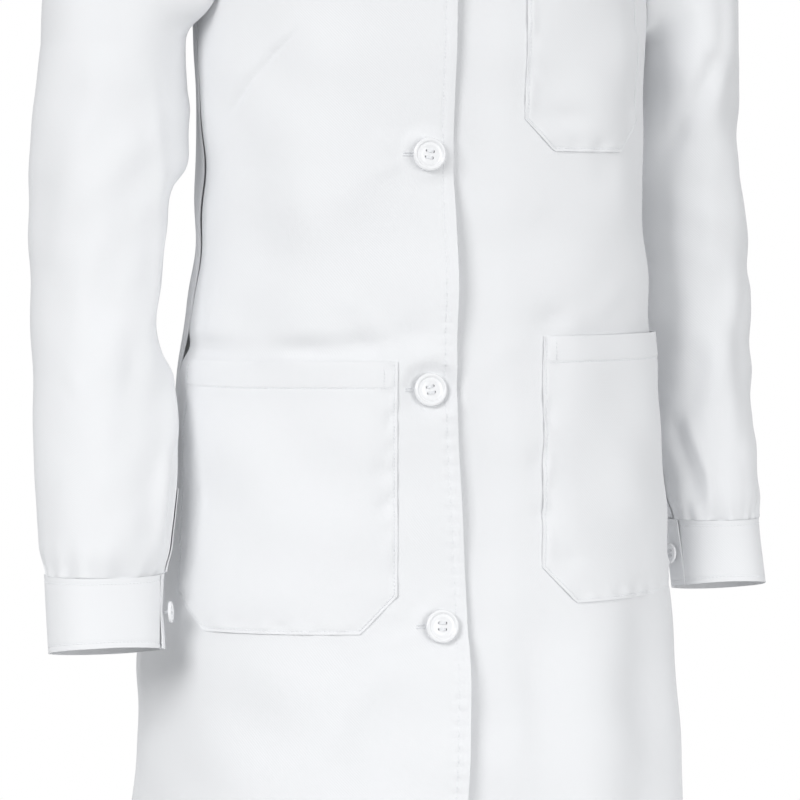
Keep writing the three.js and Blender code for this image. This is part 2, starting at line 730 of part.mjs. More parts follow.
// A solid cord whose skin is surface(u, v), closed in u and capped at both ends.
function cordSolid(surface, columns, rows) {
  const points = [];
  for (let j = 0; j <= rows; j += 1) {
    for (let i = 0; i < columns; i += 1) points.push(surface(i / columns, j / rows));
  }
  const centreOf = (row) => {
    const ring = points.slice(row * columns, (row + 1) * columns);
    return ring.reduce((sum, p) => sum.add(p), vec(0, 0, 0)).divideScalar(columns);
  };
  const [first, last] = [points.length, points.length + 1];
  points.push(centreOf(0), centreOf(rows));
  const at = (i, j) => j * columns + (i % columns);
  const index = [];
  for (let i = 0; i < columns; i += 1) {
    index.push(first, at(i + 1, 0), at(i, 0), last, at(i, rows), at(i + 1, rows));
    for (let j = 0; j < rows; j += 1) {
      index.push(at(i, j), at(i + 1, j), at(i + 1, j + 1), at(i, j), at(i + 1, j + 1), at(i, j + 1));
    }
  }
  return facingOut(points, index);
}

addBodyPanels();
addFacings();
addLapels();
addCollar();
addPockets();
addSleeves();
addButtons();
addHangerLoop();

const loopMiddle = loopCentre(0.5);
coat.position.set(-swayAt(loopMiddle.z)[0], -loopMiddle.y, -loopMiddle.z - LOOP.radius);

export default coat;
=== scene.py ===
"""The looks of a woman's lab coat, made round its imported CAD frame.

Lengths in this file are millimetres. Heights are measured from the hem, x from the middle of
the coat before its sway, and y from the plane of the side seams, with the front at -y. place()
turns such points into the frame's metres.
"""
import json
import math

import bpy
import numpy as np
from mathutils import Matrix, Vector

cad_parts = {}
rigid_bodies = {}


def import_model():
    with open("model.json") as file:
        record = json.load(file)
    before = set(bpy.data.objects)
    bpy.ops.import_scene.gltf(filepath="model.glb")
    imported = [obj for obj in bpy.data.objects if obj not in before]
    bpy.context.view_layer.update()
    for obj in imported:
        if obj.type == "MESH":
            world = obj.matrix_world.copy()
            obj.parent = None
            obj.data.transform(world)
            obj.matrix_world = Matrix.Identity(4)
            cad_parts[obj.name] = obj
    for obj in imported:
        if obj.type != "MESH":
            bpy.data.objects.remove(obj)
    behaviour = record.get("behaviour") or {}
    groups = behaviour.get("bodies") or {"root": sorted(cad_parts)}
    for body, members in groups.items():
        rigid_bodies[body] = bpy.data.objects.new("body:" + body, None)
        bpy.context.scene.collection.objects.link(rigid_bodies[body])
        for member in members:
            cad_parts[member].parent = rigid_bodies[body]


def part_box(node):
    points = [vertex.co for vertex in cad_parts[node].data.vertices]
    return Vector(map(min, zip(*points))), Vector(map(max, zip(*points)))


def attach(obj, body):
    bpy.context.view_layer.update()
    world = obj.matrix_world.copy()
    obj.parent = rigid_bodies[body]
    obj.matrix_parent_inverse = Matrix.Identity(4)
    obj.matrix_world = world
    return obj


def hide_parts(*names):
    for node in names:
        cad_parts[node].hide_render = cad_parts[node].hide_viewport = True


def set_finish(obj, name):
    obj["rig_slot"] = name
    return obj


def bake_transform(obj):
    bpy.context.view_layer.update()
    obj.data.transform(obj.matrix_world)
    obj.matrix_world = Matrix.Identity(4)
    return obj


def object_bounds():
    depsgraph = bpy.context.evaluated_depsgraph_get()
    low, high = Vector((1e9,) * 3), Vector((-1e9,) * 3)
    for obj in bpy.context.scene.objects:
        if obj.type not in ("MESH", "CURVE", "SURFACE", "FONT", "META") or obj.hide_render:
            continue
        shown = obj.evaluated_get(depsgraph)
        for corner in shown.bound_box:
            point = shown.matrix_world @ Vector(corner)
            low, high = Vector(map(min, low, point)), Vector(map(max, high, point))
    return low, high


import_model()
cad_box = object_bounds()

# ---- driving dimensions, those of the CAD model ----
ARMPIT = 765
BREAK = 836  # where the lapels start to turn back
NECK_X, NECK_HEIGHT = 66, 970  # inner end of the shoulder seam
SHOULDER_X, SHOULDER_HEIGHT = 182, 930  # outer end of the shoulder seam
NECK_DEPTH = 62
FRONT_DIP, BACK_DIP = 15, 9  # how far the armhole edges curve in
CLOSING_LINE = [(0, -16), (145, -15.5), (297, -12.5), (473, -20.5), (649, -24.5), (836, -23)]
OVERLAP = 20
FACING_WIDTH = 60
BUTTON_HEIGHTS = [825 - 176 * n for n in range(4)]
RING_POWER, DOME_POWER = 2.3, 2.4
TORSO = [
    (0, 224, 155), (157, 217, 147), (255, 212, 141), (385, 198, 127), (495, 186, 118),
    (575, 179, 113), (650, 177, 112), (765, 178, 113), (930, 185, 112),
]
SWAY = [(0, -7), (255, -5), (385, -2), (495, 0), (575, 4), (765, 5), (1000, 5)]
SLEEVES = {
    "right": [
        (735, -245, 2, 56, 55), (649, -247, 0, 61, 52), (575, -253, -6, 57, 51),
        (523, -255, -16, 53, 50), (430, -252, -44, 55, 47), (380, -254, -58, 51, 43),
        (336, -257, -70, 43, 33), (280, -257, -86, 41, 31),
    ],
    "left": [
        (735, 223, 18, 41, 64), (650, 228, 40, 49, 60), (575, 237, 46, 49, 57), (494, 246, 45, 47, 54),
        (430, 248, 32, 46, 50), (392, 252, 22, 41, 45), (360, 256, 14, 37, 35), (306, 259, 0, 36, 33),
    ],
}
CUFF_TOP = {"right": 336, "left": 360}
CUFF_BOTTOM = {"right": 280, "left": 306}
CUFF_CLOSURE = 0.5
CUFF_OVERLAP = 0.07
SLEEVE_HEAD = 735  # height of the sleeve ring where its head starts
HAND = {"right": -1, "left": 1}
CUFF_STANDS_OUT = 1.5

# ---- thicknesses of the visible cloth ----
CLOTH = 0.9
GAP = 1.1

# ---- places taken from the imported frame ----
HEM_Z = cad_box[0].z * 1000
MIDDLE_Y = (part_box("right_front")[0].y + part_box("right_back")[1].y) * 500
MIDDLE_X = (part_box("right_back")[0].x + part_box("left_back")[1].x) * 500 - SWAY[0][1]


# ---- small mathematics ----
def lerp(a, b, t):
    return a + (b - a) * t


def smooth(t):
    t = np.clip(t, 0, 1)
    return t * t * (3 - 2 * t)


def bump(value, centre, width):
    return np.exp(-(((value - centre) / width) ** 2))


def through(rows):
    """A smooth function through rows of (height, value, value, ...), for arrays of heights."""
    table = np.array(sorted(rows), float)
    keys, values = table[:, 0], table[:, 1:]
    slopes = np.empty_like(values)
    slopes[1:-1] = (values[2:] - values[:-2]) / (keys[2:] - keys[:-2])[:, None]
    slopes[0] = (values[1] - values[0]) / (keys[1] - keys[0])
    slopes[-1] = (values[-1] - values[-2]) / (keys[-1] - keys[-2])

    def at(height):
        height = np.asarray(height, float)
        i = np.clip(np.searchsorted(keys, height) - 1, 0, len(keys) - 2)
        span = (keys[i + 1] - keys[i])[..., None]
        t = np.clip((height[..., None] - keys[i][..., None]) / span, 0, 1)
        rise = t * t * (3 - 2 * t)
        leave = t * (1 - t) ** 2 * span * slopes[i]
        arrive = t * t * (t - 1) * span * slopes[i + 1]
        return np.moveaxis(lerp(values[i], values[i + 1], rise) + leave + arrive, -1, 0)

    return at


def uneven(a, b, size, seed):
    """Smooth seeded unevenness, mostly between -1 and 1, its lumps about size across."""
    draw = np.random.default_rng(seed)
    total = np.zeros(np.broadcast(a, b).shape)
    for _ in range(9):
        turn, phase = draw.uniform(0, math.tau, 2)
        pitch = math.tau / (size * draw.uniform(1.4, 3.2))
        total += np.sin(pitch * (a * math.cos(turn) + b * math.sin(turn)) + phase)
    return total / 3


def crease(a, b, points, width):
    """A ridge 1 high along a line of points, fading out at both ends."""
    points = np.array(points, float)
    legs = np.linalg.norm(np.diff(points, axis=0), axis=1)
    total = legs.sum()
    nearest = np.full(np.broadcast(a, b).shape, 1e9)
    share = np.zeros_like(nearest)
    done = 0.0
    for start, end, leg in zip(points[:-1], points[1:], legs):
        along = ((a - start[0]) * (end[0] - start[0]) + (b - start[1]) * (end[1] - start[1])) / leg**2
        along = np.clip(along, 0, 1)
        away = np.hypot(a - lerp(start[0], end[0], along), b - lerp(start[1], end[1], along))
        closer = away < nearest
        nearest = np.where(closer, away, nearest)
        share = np.where(closer, (done + along * leg) / total, share)
        done += leg
    ends = smooth(share / 0.25) * smooth((1 - share) / 0.25)
    return np.exp(-((nearest / width) ** 2)) * ends


# ---- the torso surface ----
torso_ring = through(TORSO)
sway_at = through(SWAY)
closing_line = through(CLOSING_LINE)


def closing_x(height):
    """x of the button line."""
    return closing_line(height)[0]


def front_edge_x(hand, height):
    """Free edge of a front; the right front laps over the left one."""
    return closing_x(np.minimum(height, BREAK)) - hand * OVERLAP


def shoulder_height(x):
    return lerp(NECK_HEIGHT, SHOULDER_HEIGHT, (np.abs(x) - NECK_X) / (SHOULDER_X - NECK_X))


def torso_depth(x, height):
    """How far the torso stands before or behind the side seams."""
    half_width, half_depth = torso_ring(height)
    side = np.minimum(1, np.abs(x) / half_width)
    flat = (1 - side**RING_POWER) ** (1 / RING_POWER)
    up = np.clip((height - ARMPIT) / (shoulder_height(x) - ARMPIT), 0, 1)
    return half_depth * flat * (1 - up**DOME_POWER) ** (1 / DOME_POWER)


def height_at_depth(x, depth):
    """Height above the armpit where the torso is this deep."""
    low, high = np.full(np.shape(x), float(ARMPIT)), shoulder_height(x)
    for _ in range(30):
        middle = (low + high) / 2
        over = torso_depth(x, middle) > depth
        low, high = np.where(over, middle, low), np.where(over, high, middle)
    return low


def side_at(x, height):
    """Place across the coat, 0 in the middle and -1 or 1 at the side seams."""
    share = np.minimum(1, np.abs(x) / torso_ring(height)[0])
    return np.sign(x) * np.arcsin(share ** (RING_POWER / 2)) / (math.pi / 2)


def x_at_side(side, height):
    share = np.abs(np.sin(side * math.pi / 2)) ** (2 / RING_POWER)
    return torso_ring(height)[0] * np.sign(side) * share


def x_round_front(inner_x, distance, hand, height, steps=40):
    """Where a walk of some distance round the front ends, starting at inner_x."""
    x = inner_x + 0.0 * distance * height
    for _ in range(steps):
        slope = torso_depth(x + 0.5, height) - torso_depth(x - 0.5, height)
        x = x + hand * distance / steps / np.sqrt(1 + slope**2)
    return x


def stack(x, y, height):
    return np.stack(np.broadcast_arrays(x, y, height), axis=-1).astype(float)


def unit(vectors):
    """The same directions, 1 long."""
    return vectors / np.maximum(np.linalg.norm(vectors, axis=-1, keepdims=True), 1e-9)


def outward(points, centre, wrap=False):
    """Unit normals of a grid of points, on the whole pointing away from the centre."""
    if wrap:
        padded = np.concatenate([points[:, -2:], points, points[:, :2]], axis=1)
        along_u = np.gradient(padded, axis=1)[:, 2:-2]
    else:
        along_u = np.gradient(points, axis=1)
    normals = unit(np.cross(along_u, np.gradient(points, axis=0)))
    return normals if np.sum(normals * (points - centre)) > 0 else -normals


def lifted(base, relief, centre, wrap=False):
    """A grid of points raised off its base by a relief, and the outward normals there."""
    points = base + outward(base, centre, wrap) * relief[..., None]
    return points, outward(points, centre, wrap)


def place(points):
    """Points of this file in the frame's metres."""
    points = np.asarray(points, float)
    moved = points + stack(sway_at(points[..., 2])[0], 0, 0)
    return (moved + np.array([MIDDLE_X, MIDDLE_Y, HEM_Z])) / 1000


# ---- meshes ----
SHARP_ANGLE = 40  # degrees


def add_mesh(name, verts, faces):
    """A smooth shaded piece with the vertices as they are given."""
    mesh = bpy.data.meshes.new(name)
    mesh.from_pydata(verts, [], faces)
    mesh.shade_smooth()
    piece = bpy.data.objects.new(name, mesh)
    bpy.context.scene.collection.objects.link(piece)
    return piece


def mesh_object(name, points, faces, uvs=None):
    """A piece made of points of this file, with its sharp edges marked."""
    piece = add_mesh(name, place(points).tolist(), faces)
    mesh = piece.data
    mesh.validate()
    if uvs is not None:
        layer = mesh.uv_layers.new(name="UVMap")
        corners = np.empty(len(mesh.loops), dtype=np.int32)
        mesh.loops.foreach_get("vertex_index", corners)
        layer.data.foreach_set("uv", np.asarray(uvs, float)[corners].ravel())
    mesh.set_sharp_from_angle(angle=math.radians(SHARP_ANGLE))
    return piece


def grid_faces(rows, columns, wrap, offset=0, flip=False):
    faces = []
    width = columns if wrap else columns - 1
    for j in range(rows - 1):
        for i in range(width):
            k = (i + 1) % columns
            quad = [j * columns + i, j * columns + k, (j + 1) * columns + k, (j + 1) * columns + i]
            faces.append([offset + n for n in (reversed(quad) if flip else quad)])
    return faces


def arc_lengths(points, axis):
    steps = np.linalg.norm(np.diff(points, axis=axis), axis=-1)
    zero = np.zeros_like(np.take(steps, [0], axis=axis))
    return np.cumsum(np.concatenate([zero, steps], axis=axis), axis=axis)


def cloth(name, points, normals, thickness=CLOTH, wrap=False):
    """A closed sheet: the points are its outer side and the normals point out of it."""
    rows, columns = points.shape[:2]
    count = rows * columns
    inner = points - normals * thickness
    turned = np.dot(np.cross(points[0, 1] - points[0, 0], points[1, 0] - points[0, 0]), normals[0, 0]) < 0
    faces = grid_faces(rows, columns, wrap, 0, turned)
    faces += grid_faces(rows, columns, wrap, count, not turned)
    rim = []
    width = columns if wrap else columns - 1
    for i in range(width):
        k = (i + 1) % columns
        rim.append([i, count + i, count + k, k])
        top = (rows - 1) * columns
        rim.append([top + i, top + k, count + top + k, count + top + i])
    if not wrap:
        for j in range(rows - 1):
            a, b = j * columns, (j + 1) * columns
            rim.append([a, b, count + b, count + a])
            a, b = a + columns - 1, b + columns - 1
            rim.append([a, count + a, count + b, b])
    faces += [list(reversed(face)) if turned else face for face in rim]
    u = arc_lengths(points, 1) / 1000
    v = arc_lengths(points, 0) / 1000
    uv = np.stack([u, v], axis=-1).reshape(-1, 2)
    both = np.concatenate([points.reshape(-1, 3), inner.reshape(-1, 3)])
    return mesh_object(name, both, faces, np.concatenate([uv, uv]))


# ---- folds and dents of the torso ----
HALF_ROUND = 285  # distance round the coat from centre front to a side seam, near enough


def round_place(x, height, facing):
    """Distance round the coat from the centre front, over the side seams to the centre back."""
    across = side_at(x, height) * HALF_ROUND
    return across if facing < 0 else np.sign(x) * 2 * HALF_ROUND - across


FRONT_DENTS = [  # x, height, half width, half height, depth; a negative depth stands out
    (-176, 503, 20, 9, 3.0), (-112, 504, 24, 8, 3.2), (-70, 506, 18, 9, 3.2), (-34, 512, 16, 12, 2.6),
    (-56, 412, 9, 7, 1.4), (-54, 386, 9, 7, 1.6), (86, 678, 22, 9, 2.2), (76, 524, 15, 9, 2.4),
    (66, 418, 8, 9, 1.5), (70, 378, 9, 6, 1.6), (92, 342, 10, 6, 1.2), (122, 640, 12, 16, 1.2),
    (60, 250, 30, 60, 3.0), (-150, 610, 26, 110, 4.5), (-105, 640, 34, 120, -3.0),
    (-130, 200, 40, 90, -3.5), (110, 230, 34, 110, -3.0), (165, 250, 22, 120, 3.5),
    (-62, 180, 22, 100, 2.5), (20, 420, 18, 60, 1.4),
]
FRONT_CREASES = [  # points, width, height
    ([(-118, 746), (-138, 724), (-154, 704), (-167, 678)], 2.2, -2.0),
    ([(-122, 748), (-142, 729), (-159, 706), (-170, 682)], 6, 0.8),
    ([(-40, 662), (-66, 640), (-98, 600)], 13, 1.2),
    ([(-36, 486), (-60, 520), (-96, 552)], 10, 1.6),
    ([(-34, 302), (-62, 322), (-96, 330)], 12, 1.4),
    ([(-40, 280), (-76, 244), (-100, 196)], 13, 1.5),
    ([(6, 470), (34, 500), (66, 512)], 10, 1.0),
    ([(10, 650), (40, 630), (70, 592)], 13, 1.2),
    ([(16, 300), (40, 262), (52, 190)], 14, 2.0),
    ([(150, 560), (120, 530), (80, 520)], 10, 1.2),
]


def torso_relief(x, height, facing):
    around = round_place(x, height, facing)
    seamless = 1 - bump(np.abs(around), 2 * HALF_ROUND, 30)
    relief = 2.8 * uneven(around, height * 0.7, 90, 11) * seamless
    relief += 1.1 * uneven(around, height, 34, 12) * seamless
    skirt = smooth((330 - height) / 330)
    relief += 3.6 * skirt * np.sin(around / 15.2 + 0.9 * np.sin(around / 61) + height / 260) * seamless
    shoulders = smooth((height - 700) / 120)
    relief *= 1 - 0.6 * shoulders
    if facing < 0:
        for at_x, at_height, half_x, half_height, deep in FRONT_DENTS:
            relief -= 1.5 * deep * bump(x, at_x, half_x) * bump(height, at_height, half_height)
        for points, width, high in FRONT_CREASES:
            relief += high * crease(x, height, points, width)
    return relief - 0.7 * bump(np.abs(around), HALF_ROUND, 2.2)


EDGE_STITCH = 8.5  # stitch line of the right front, from its edge
EDGE_STANDS = [  # height, half length, lift
    (735, 60, 4.0), (560, 52, 9.0), (395, 40, 2.6), (225, 70, 8.0),
]


def edge_relief(distance, height):
    """The stitched edge of the right front, which stands off the left one in places."""
    groove = -0.55 * bump(distance, EDGE_STITCH, 1.0)
    strip = 0.45 * bump(distance, 4.2, 3.2)
    tight = smooth((565 - height) / 60)
    ripple = np.sin(height / 1.55 + 2.2 * uneven(height, distance, 60, 21))
    pucker = 0.75 * ripple * bump(distance, 8.0, 5.5) * (0.25 + 0.75 * tight)
    stand = 1.2 * uneven(height, 0 * height, 70, 22) + 3.5 * smooth((180 - height) / 90)
    for middle, half_length, lift in EDGE_STANDS:
        stand = stand + lift * bump(height, middle, half_length)
    return groove + strip + pucker + stand * np.exp(-distance / 20)


def near_button(x, height):
    """1 under a button, falling to 0 a little outside it."""
    away = np.min([np.hypot(x - closing_x(middle), height - middle) for middle in BUTTON_HEIGHTS], axis=0)
    return 1 - smooth((away - 12) / 14)


def tension_folds(x, height):
    """Short folds that run from each button to its side."""
    relief = 0
    for middle in BUTTON_HEIGHTS:
        button_x = float(closing_x(middle))
        for rise in (-0.35, 0.3):
            line = [(button_x - 12, middle + 10 * rise), (button_x - 46, middle + 46 * rise)]
            relief = relief + 0.7 * crease(x, height, line, 5)
    return relief


def underlap(x, height):
    """How far the left front sinks to pass under the right one."""
    below = 2 * CLOTH + 0.6 + 2 * GAP
    return below * smooth((front_edge_x(-1, height) + 46 - x) / 40)


def front_relief(hand, x, height, distance=None):
    """Relief of a front; distance is measured from the free edge of the right front."""
    relief = torso_relief(x, height, -1) + tension_folds(x, height)
    if hand < 0:
        distance = front_edge_x(-1, height) - x if distance is None else distance
        relief = relief + edge_relief(distance, height)
    relief = lerp(relief, -0.6, near_button(x, height))
    return relief if hand < 0 else relief - underlap(x, height)


def smooth_front(x, height, step=1.5):
    """Points of the front before its relief, and the outward normals there."""
    along_x = (torso_depth(x + step, height) - torso_depth(x - step, height)) / (2 * step)
    along_z = (torso_depth(x, height + step) - torso_depth(x, height - step)) / (2 * step)
    return stack(x, -torso_depth(x, height), height), unit(stack(-along_x, -1, -along_z))


def front_surface(hand, x, height, out=0.0):
    """Points at a distance out from the cloth of a front, and the normals there."""
    base, normal = smooth_front(x, height)
    away = np.asarray(front_relief(hand, x, height) + out)[..., None]
    return base + normal * away, normal


# ---- body panels ----
PANEL_ARC = 292  # from front edge or centre back to side seam
ROWS_ABOVE_ARMPIT = 46
INSIDE = [0, 0, 500]  # a place inside the coat
NEAR_SEAM = [0, 0.5, 1.2, 2, 3, 4.5, 6.5, 9]  # distances of the columns closest to a seam
FINE_EDGE = [0, 0.4, 1, 2, 3, 4, 5, 6, 7, 7.6, 8.2, 8.8, 9.4, 10.2, 11.2, 12.5, 14, 16, 18.5, 21.5, 25]


def panel_rows(step):
    """Heights of the rows below the armpit, and shares of the way up for those above it."""
    below = np.arange(0, ARMPIT, step)
    hem = np.array([0, 0.5, 1.5])
    above = np.sin(np.linspace(0, 1, ROWS_ABOVE_ARMPIT) * math.pi / 2)
    return np.concatenate([hem, below[below > 3]]), above


def armhole_x(up, dip):
    """x of an armhole edge, by share of the way up from the armpit."""
    curve = np.sin(math.pi * np.clip(up, 0, 1) ** 0.62)
    return lerp(torso_ring(np.float64(ARMPIT))[0], SHOULDER_X, up) - dip * curve


def panel_grid(hand, facing, inner_x, dip, top, columns, row_step):
    """Points of a panel from its side seam and armhole to its inner edge."""
    below, above = panel_rows(row_step)
    u = columns[None, :]
    h_low = below[:, None]
    side = lerp(float(hand), side_at(inner_x(0 * h_low, h_low), h_low), u)
    x_low = x_at_side(side, h_low + 0 * u)
    up = above[:, None]
    spread = (x_low[-1] - x_low[-1, 0]) / (x_low[-1, -1] - x_low[-1, 0])
    spread = lerp(spread[None, :], u, smooth(up / 0.6))
    inner_high = inner_x(up, lerp(ARMPIT, NECK_HEIGHT, up))
    x_high = lerp(hand * armhole_x(up, dip), inner_high, spread)
    h_high = lerp(ARMPIT, top(x_high), up)
    x = np.concatenate([x_low, x_high])
    height = np.concatenate([h_low + 0 * u, h_high])
    return x, height, stack(x, facing * torso_depth(x, height), height)


def front_inner(hand):
    """x of the inner edge of a front: its free edge, then the roll line of the lapel."""
    break_up = (BREAK - ARMPIT) / (NECK_HEIGHT - ARMPIT)

    def inner(up, height):
        turn = np.clip((up - break_up) / (1 - break_up), 0, 1)
        return lerp(front_edge_x(hand, height), hand * NECK_X, turn)

    return inner


def fine_columns(first, step):
    """Places across a panel from its side seam, 0, to its inner edge, 1, close near that edge."""
    distance = np.concatenate([first, np.arange(first[-1] + step, PANEL_ARC, step)])
    return np.append(1 - distance / PANEL_ARC, 0.0)[::-1]


def shoulder_fade(x, height):
    """1 away from the shoulder line, where front and back meet and no relief may part them."""
    up = np.clip((height - ARMPIT) / (shoulder_height(x) - ARMPIT), 0, 1)
    return 1 - smooth((up - 0.8) / 0.18)


def front_panel(hand):
    columns = fine_columns(FINE_EDGE, 2.6 if hand < 0 else 4)
    row_step = 2.8 if hand < 0 else 5
    x, height, base = panel_grid(
        hand, -1, front_inner(hand), FRONT_DIP, shoulder_height, columns, row_step
    )
    along_edge = front_edge_x(-1, height) - x
    along_roll = (1 - columns)[None, :] * PANEL_ARC
    distance = lerp(along_edge, along_roll, smooth((height - BREAK + 30) / 30))
    relief = front_relief(hand, x, height, distance)
    return lifted(base, relief * shoulder_fade(x, height), INSIDE)


def back_top(x):
    across = np.minimum(np.abs(x) / NECK_X, 1)
    neck = height_at_depth(x, NECK_DEPTH * np.sqrt(1 - across**2))
    return np.where(across >= 1, shoulder_height(x), neck)


def back_panel(hand):
    columns = fine_columns(NEAR_SEAM, 4.5)
    x, height, base = panel_grid(
        hand, 1, lambda up, height: hand * 0.15 + 0 * up, BACK_DIP, back_top, columns, 5
    )
    relief = torso_relief(x, height, 1) - 0.7 * bump(x, 0, 2.0)
    return lifted(base, relief * shoulder_fade(x, height), INSIDE)


def belong(piece, body, slot, node=None):
    """Join a piece to its body and its slot, and hide the node it stands for if there is one."""
    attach(piece, body)
    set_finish(piece, slot)
    if node:
        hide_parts(node)


def add_sheet(piece, node, body):
    """Common facts of every cloth piece: its body and the node it stands for."""
    belong(piece, body, "cloth", node)


def make_panels():
    for side, hand in HAND.items():
        node = f"{side}_front"
        add_sheet(cloth(f"{node}_cloth", *front_panel(hand)), node, "coat")
        node = f"{side}_back"
        add_sheet(cloth(f"{node}_cloth", *back_panel(hand)), node, "coat")


# ---- facings ----
def make_facings():
    heights = np.concatenate([np.arange(2, BREAK - 12, 6), [BREAK - 12]])[:, None]
    across = np.array([1.5, 3, 6, 9, 14, 20, 28, 36, 44, 52, FACING_WIDTH])[None, :]
    for side, hand in HAND.items():
        x = front_edge_x(hand, heights) + hand * across
        points, normals = front_surface(hand, x, heights + 0 * across, -CLOTH - 0.5)
        piece = cloth(f"{side}_facing_cloth", points, normals, 0.5)
        add_sheet(piece, f"{side}_facing", "coat")


# ---- sleeves ----
sleeve_ring = {side: through(rows) for side, rows in SLEEVES.items()}


def ring_points(side, turn, height, ease=0.0):
    """Points round a sleeve; turn 0 is its outer side and 0.25 its back."""
    x, y, half_width, half_depth = sleeve_ring[side](height)
    angle = turn * math.tau
    out = HAND[side] * (half_width + ease) * np.cos(angle)
    return stack(x + out, y + (half_depth + ease) * np.sin(angle), height)


def armhole_points(side, turn):
    """Where the sleeve head meets the panels."""
    angle = turn * math.tau
    up = (1 + np.cos(angle)) / 2
    dip = np.where(np.sin(angle) > 0, BACK_DIP, FRONT_DIP)
    x = armhole_x(up, dip)
    height = lerp(ARMPIT, shoulder_height(x), up)
    depth = np.sign(np.sin(angle)) * torso_depth(x, height)
    return stack(HAND[side] * (x + 0.3), depth, height)


def sleeve_base(side, turns, low_heights, head_shares):
    """Rings of the arm, then a head that curves over to the armhole."""
    lower = ring_points(side, turns[None, :], low_heights[:, None] + 0 * turns[None, :])
    start = ring_points(side, turns, SLEEVE_HEAD + 0 * turns)
    end = armhole_points(side, turns)
    reach = 0.45 * np.linalg.norm(end - start, axis=-1, keepdims=True)
    over = (1 + np.cos(turns * math.tau)) / 2
    arrive = unit(stack(-HAND[side] * over, 0, 1 - 0.65 * over))
    rising = start + np.array([0, 0, 1]) * reach
    before = end - arrive * reach
    t = head_shares[:, None, None]
    head = (1 - t) ** 3 * start + 3 * (1 - t) ** 2 * t * rising + 3 * (1 - t) * t**2 * before + t**3 * end
    return np.concatenate([lower, head])


SLEEVE_CREASES = {  # (turn, height) points, width in mm, height in mm
    "right": [
        ([(0.70, 720), (0.66, 640), (0.64, 590), (0.62, 540), (0.66, 500)], 7, 2.2),
        ([(0.56, 700), (0.55, 665), (0.55, 620)], 28, 4.0),
        ([(0.53, 650), (0.54, 600), (0.54, 550), (0.53, 480)], 24, -9.0),
        ([(0.86, 470), (0.78, 490), (0.70, 480)], 16, 2.0),
        ([(0.52, 500), (0.57, 455), (0.60, 420)], 12, 3.0),
        ([(0.62, 560), (0.70, 520), (0.80, 505)], 14, 1.6),
        ([(0.56, 440), (0.585, 395), (0.57, 350)], 5, -4.0),
        ([(0.61, 440), (0.625, 395), (0.61, 352)], 7, 2.4),
        ([(0.92, 640), (0.90, 540)], 20, -2.2),
        ([(0.20, 600), (0.30, 540), (0.42, 520)], 18, -3.5),
        ([(0.15, 480), (0.28, 500), (0.40, 480)], 14, 2.6),
    ],
    "left": [
        ([(0.81, 775), (0.79, 735), (0.71, 690), (0.64, 640)], 10, -3.0),
        ([(0.85, 775), (0.83, 730), (0.75, 680), (0.68, 640)], 12, 1.5),
        ([(0.77, 570), (0.75, 545), (0.71, 480), (0.66, 425)], 13, -3.0),
        ([(0.83, 560), (0.80, 520), (0.75, 460)], 13, 3.0),
        ([(0.66, 450), (0.70, 400), (0.70, 362)], 6, 2.6),
        ([(0.62, 450), (0.65, 400), (0.655, 364)], 8, -3.4),
        ([(0.93, 560), (0.88, 520), (0.84, 500)], 12, 1.8),
        ([(0.95, 430), (0.88, 410), (0.80, 415)], 11, 1.4),
        ([(0.20, 620), (0.32, 560), (0.44, 530)], 18, -4.0),
        ([(0.12, 470), (0.25, 500), (0.40, 490)], 14, 2.6),
    ],
}


SLEEVE_GIRTH = 340
SLEEVE_COLUMNS = 150
IN_CUFF = 1.2  # how far inside its seam with the cuff the sleeve lies
NEAR_CUFF = np.array([-5, -3, -1.5, -0.6, 0, 0.8, 1.8, 3, 4.5, 6.5, 9])  # rows from the cuff's top


def sleeve_relief(side, turn, height, top):
    """Folds of a sleeve, the turn counted in mm round it so that they keep their width."""
    around = turn * SLEEVE_GIRTH
    across = SLEEVE_GIRTH * np.cos(turn * math.tau) / 4
    forward = SLEEVE_GIRTH * np.sin(turn * math.tau) / 4
    seed = 31 if side == "right" else 32
    relief = 2.0 * uneven(across, height + forward, 62, seed)
    relief += 0.8 * uneven(across, height * 1.1, 24, seed + 5)
    for points, width, high in SLEEVE_CREASES[side]:
        line = [(t * SLEEVE_GIRTH, h) for t, h in points]
        relief += high * crease(around, height, line, width)
    near_cuff = np.exp(-np.maximum(height - top, 0) / 13)
    gathers = uneven(around, height * 0.15, 9, seed + 9)
    relief += 1.8 * near_cuff * gathers
    relief += 2.0 * bump(height, top + 16, 12)
    inside_cuff = smooth((top + 0.6 - height) / 2)
    return lerp(relief, -IN_CUFF, inside_cuff)


def sleeve(side):
    top = CUFF_TOP[side]
    turns = np.arange(SLEEVE_COLUMNS) / SLEEVE_COLUMNS
    low = np.concatenate([top + NEAR_CUFF, np.arange(top + 12, SLEEVE_HEAD, 4.2)])
    head = np.linspace(0, 1, 34)[1:]
    base = sleeve_base(side, turns, low, head)
    height = np.concatenate([low, SLEEVE_HEAD + head * 60])[:, None]
    fade = np.concatenate([1 + 0 * low, 1 - smooth((head - 0.45) / 0.5)])[:, None]
    relief = sleeve_relief(side, turns[None, :], height + 0 * turns[None, :], top) * fade
    return lifted(base, relief, base.mean(axis=1, keepdims=True), True)


CUFF_ROWS = np.array([  # from the lower edge of a cuff 56 high
    0, 0.3, 0.9, 2, 3.2, 4.4, 5.4, 8, 14, 22, 30, 38, 44, 49, 51.4, 52.6, 53.8, 55, 55.7, 56,
])
STITCHED_ROWS = {"lower": 5, "upper": 14}  # which of the rows carry stitches


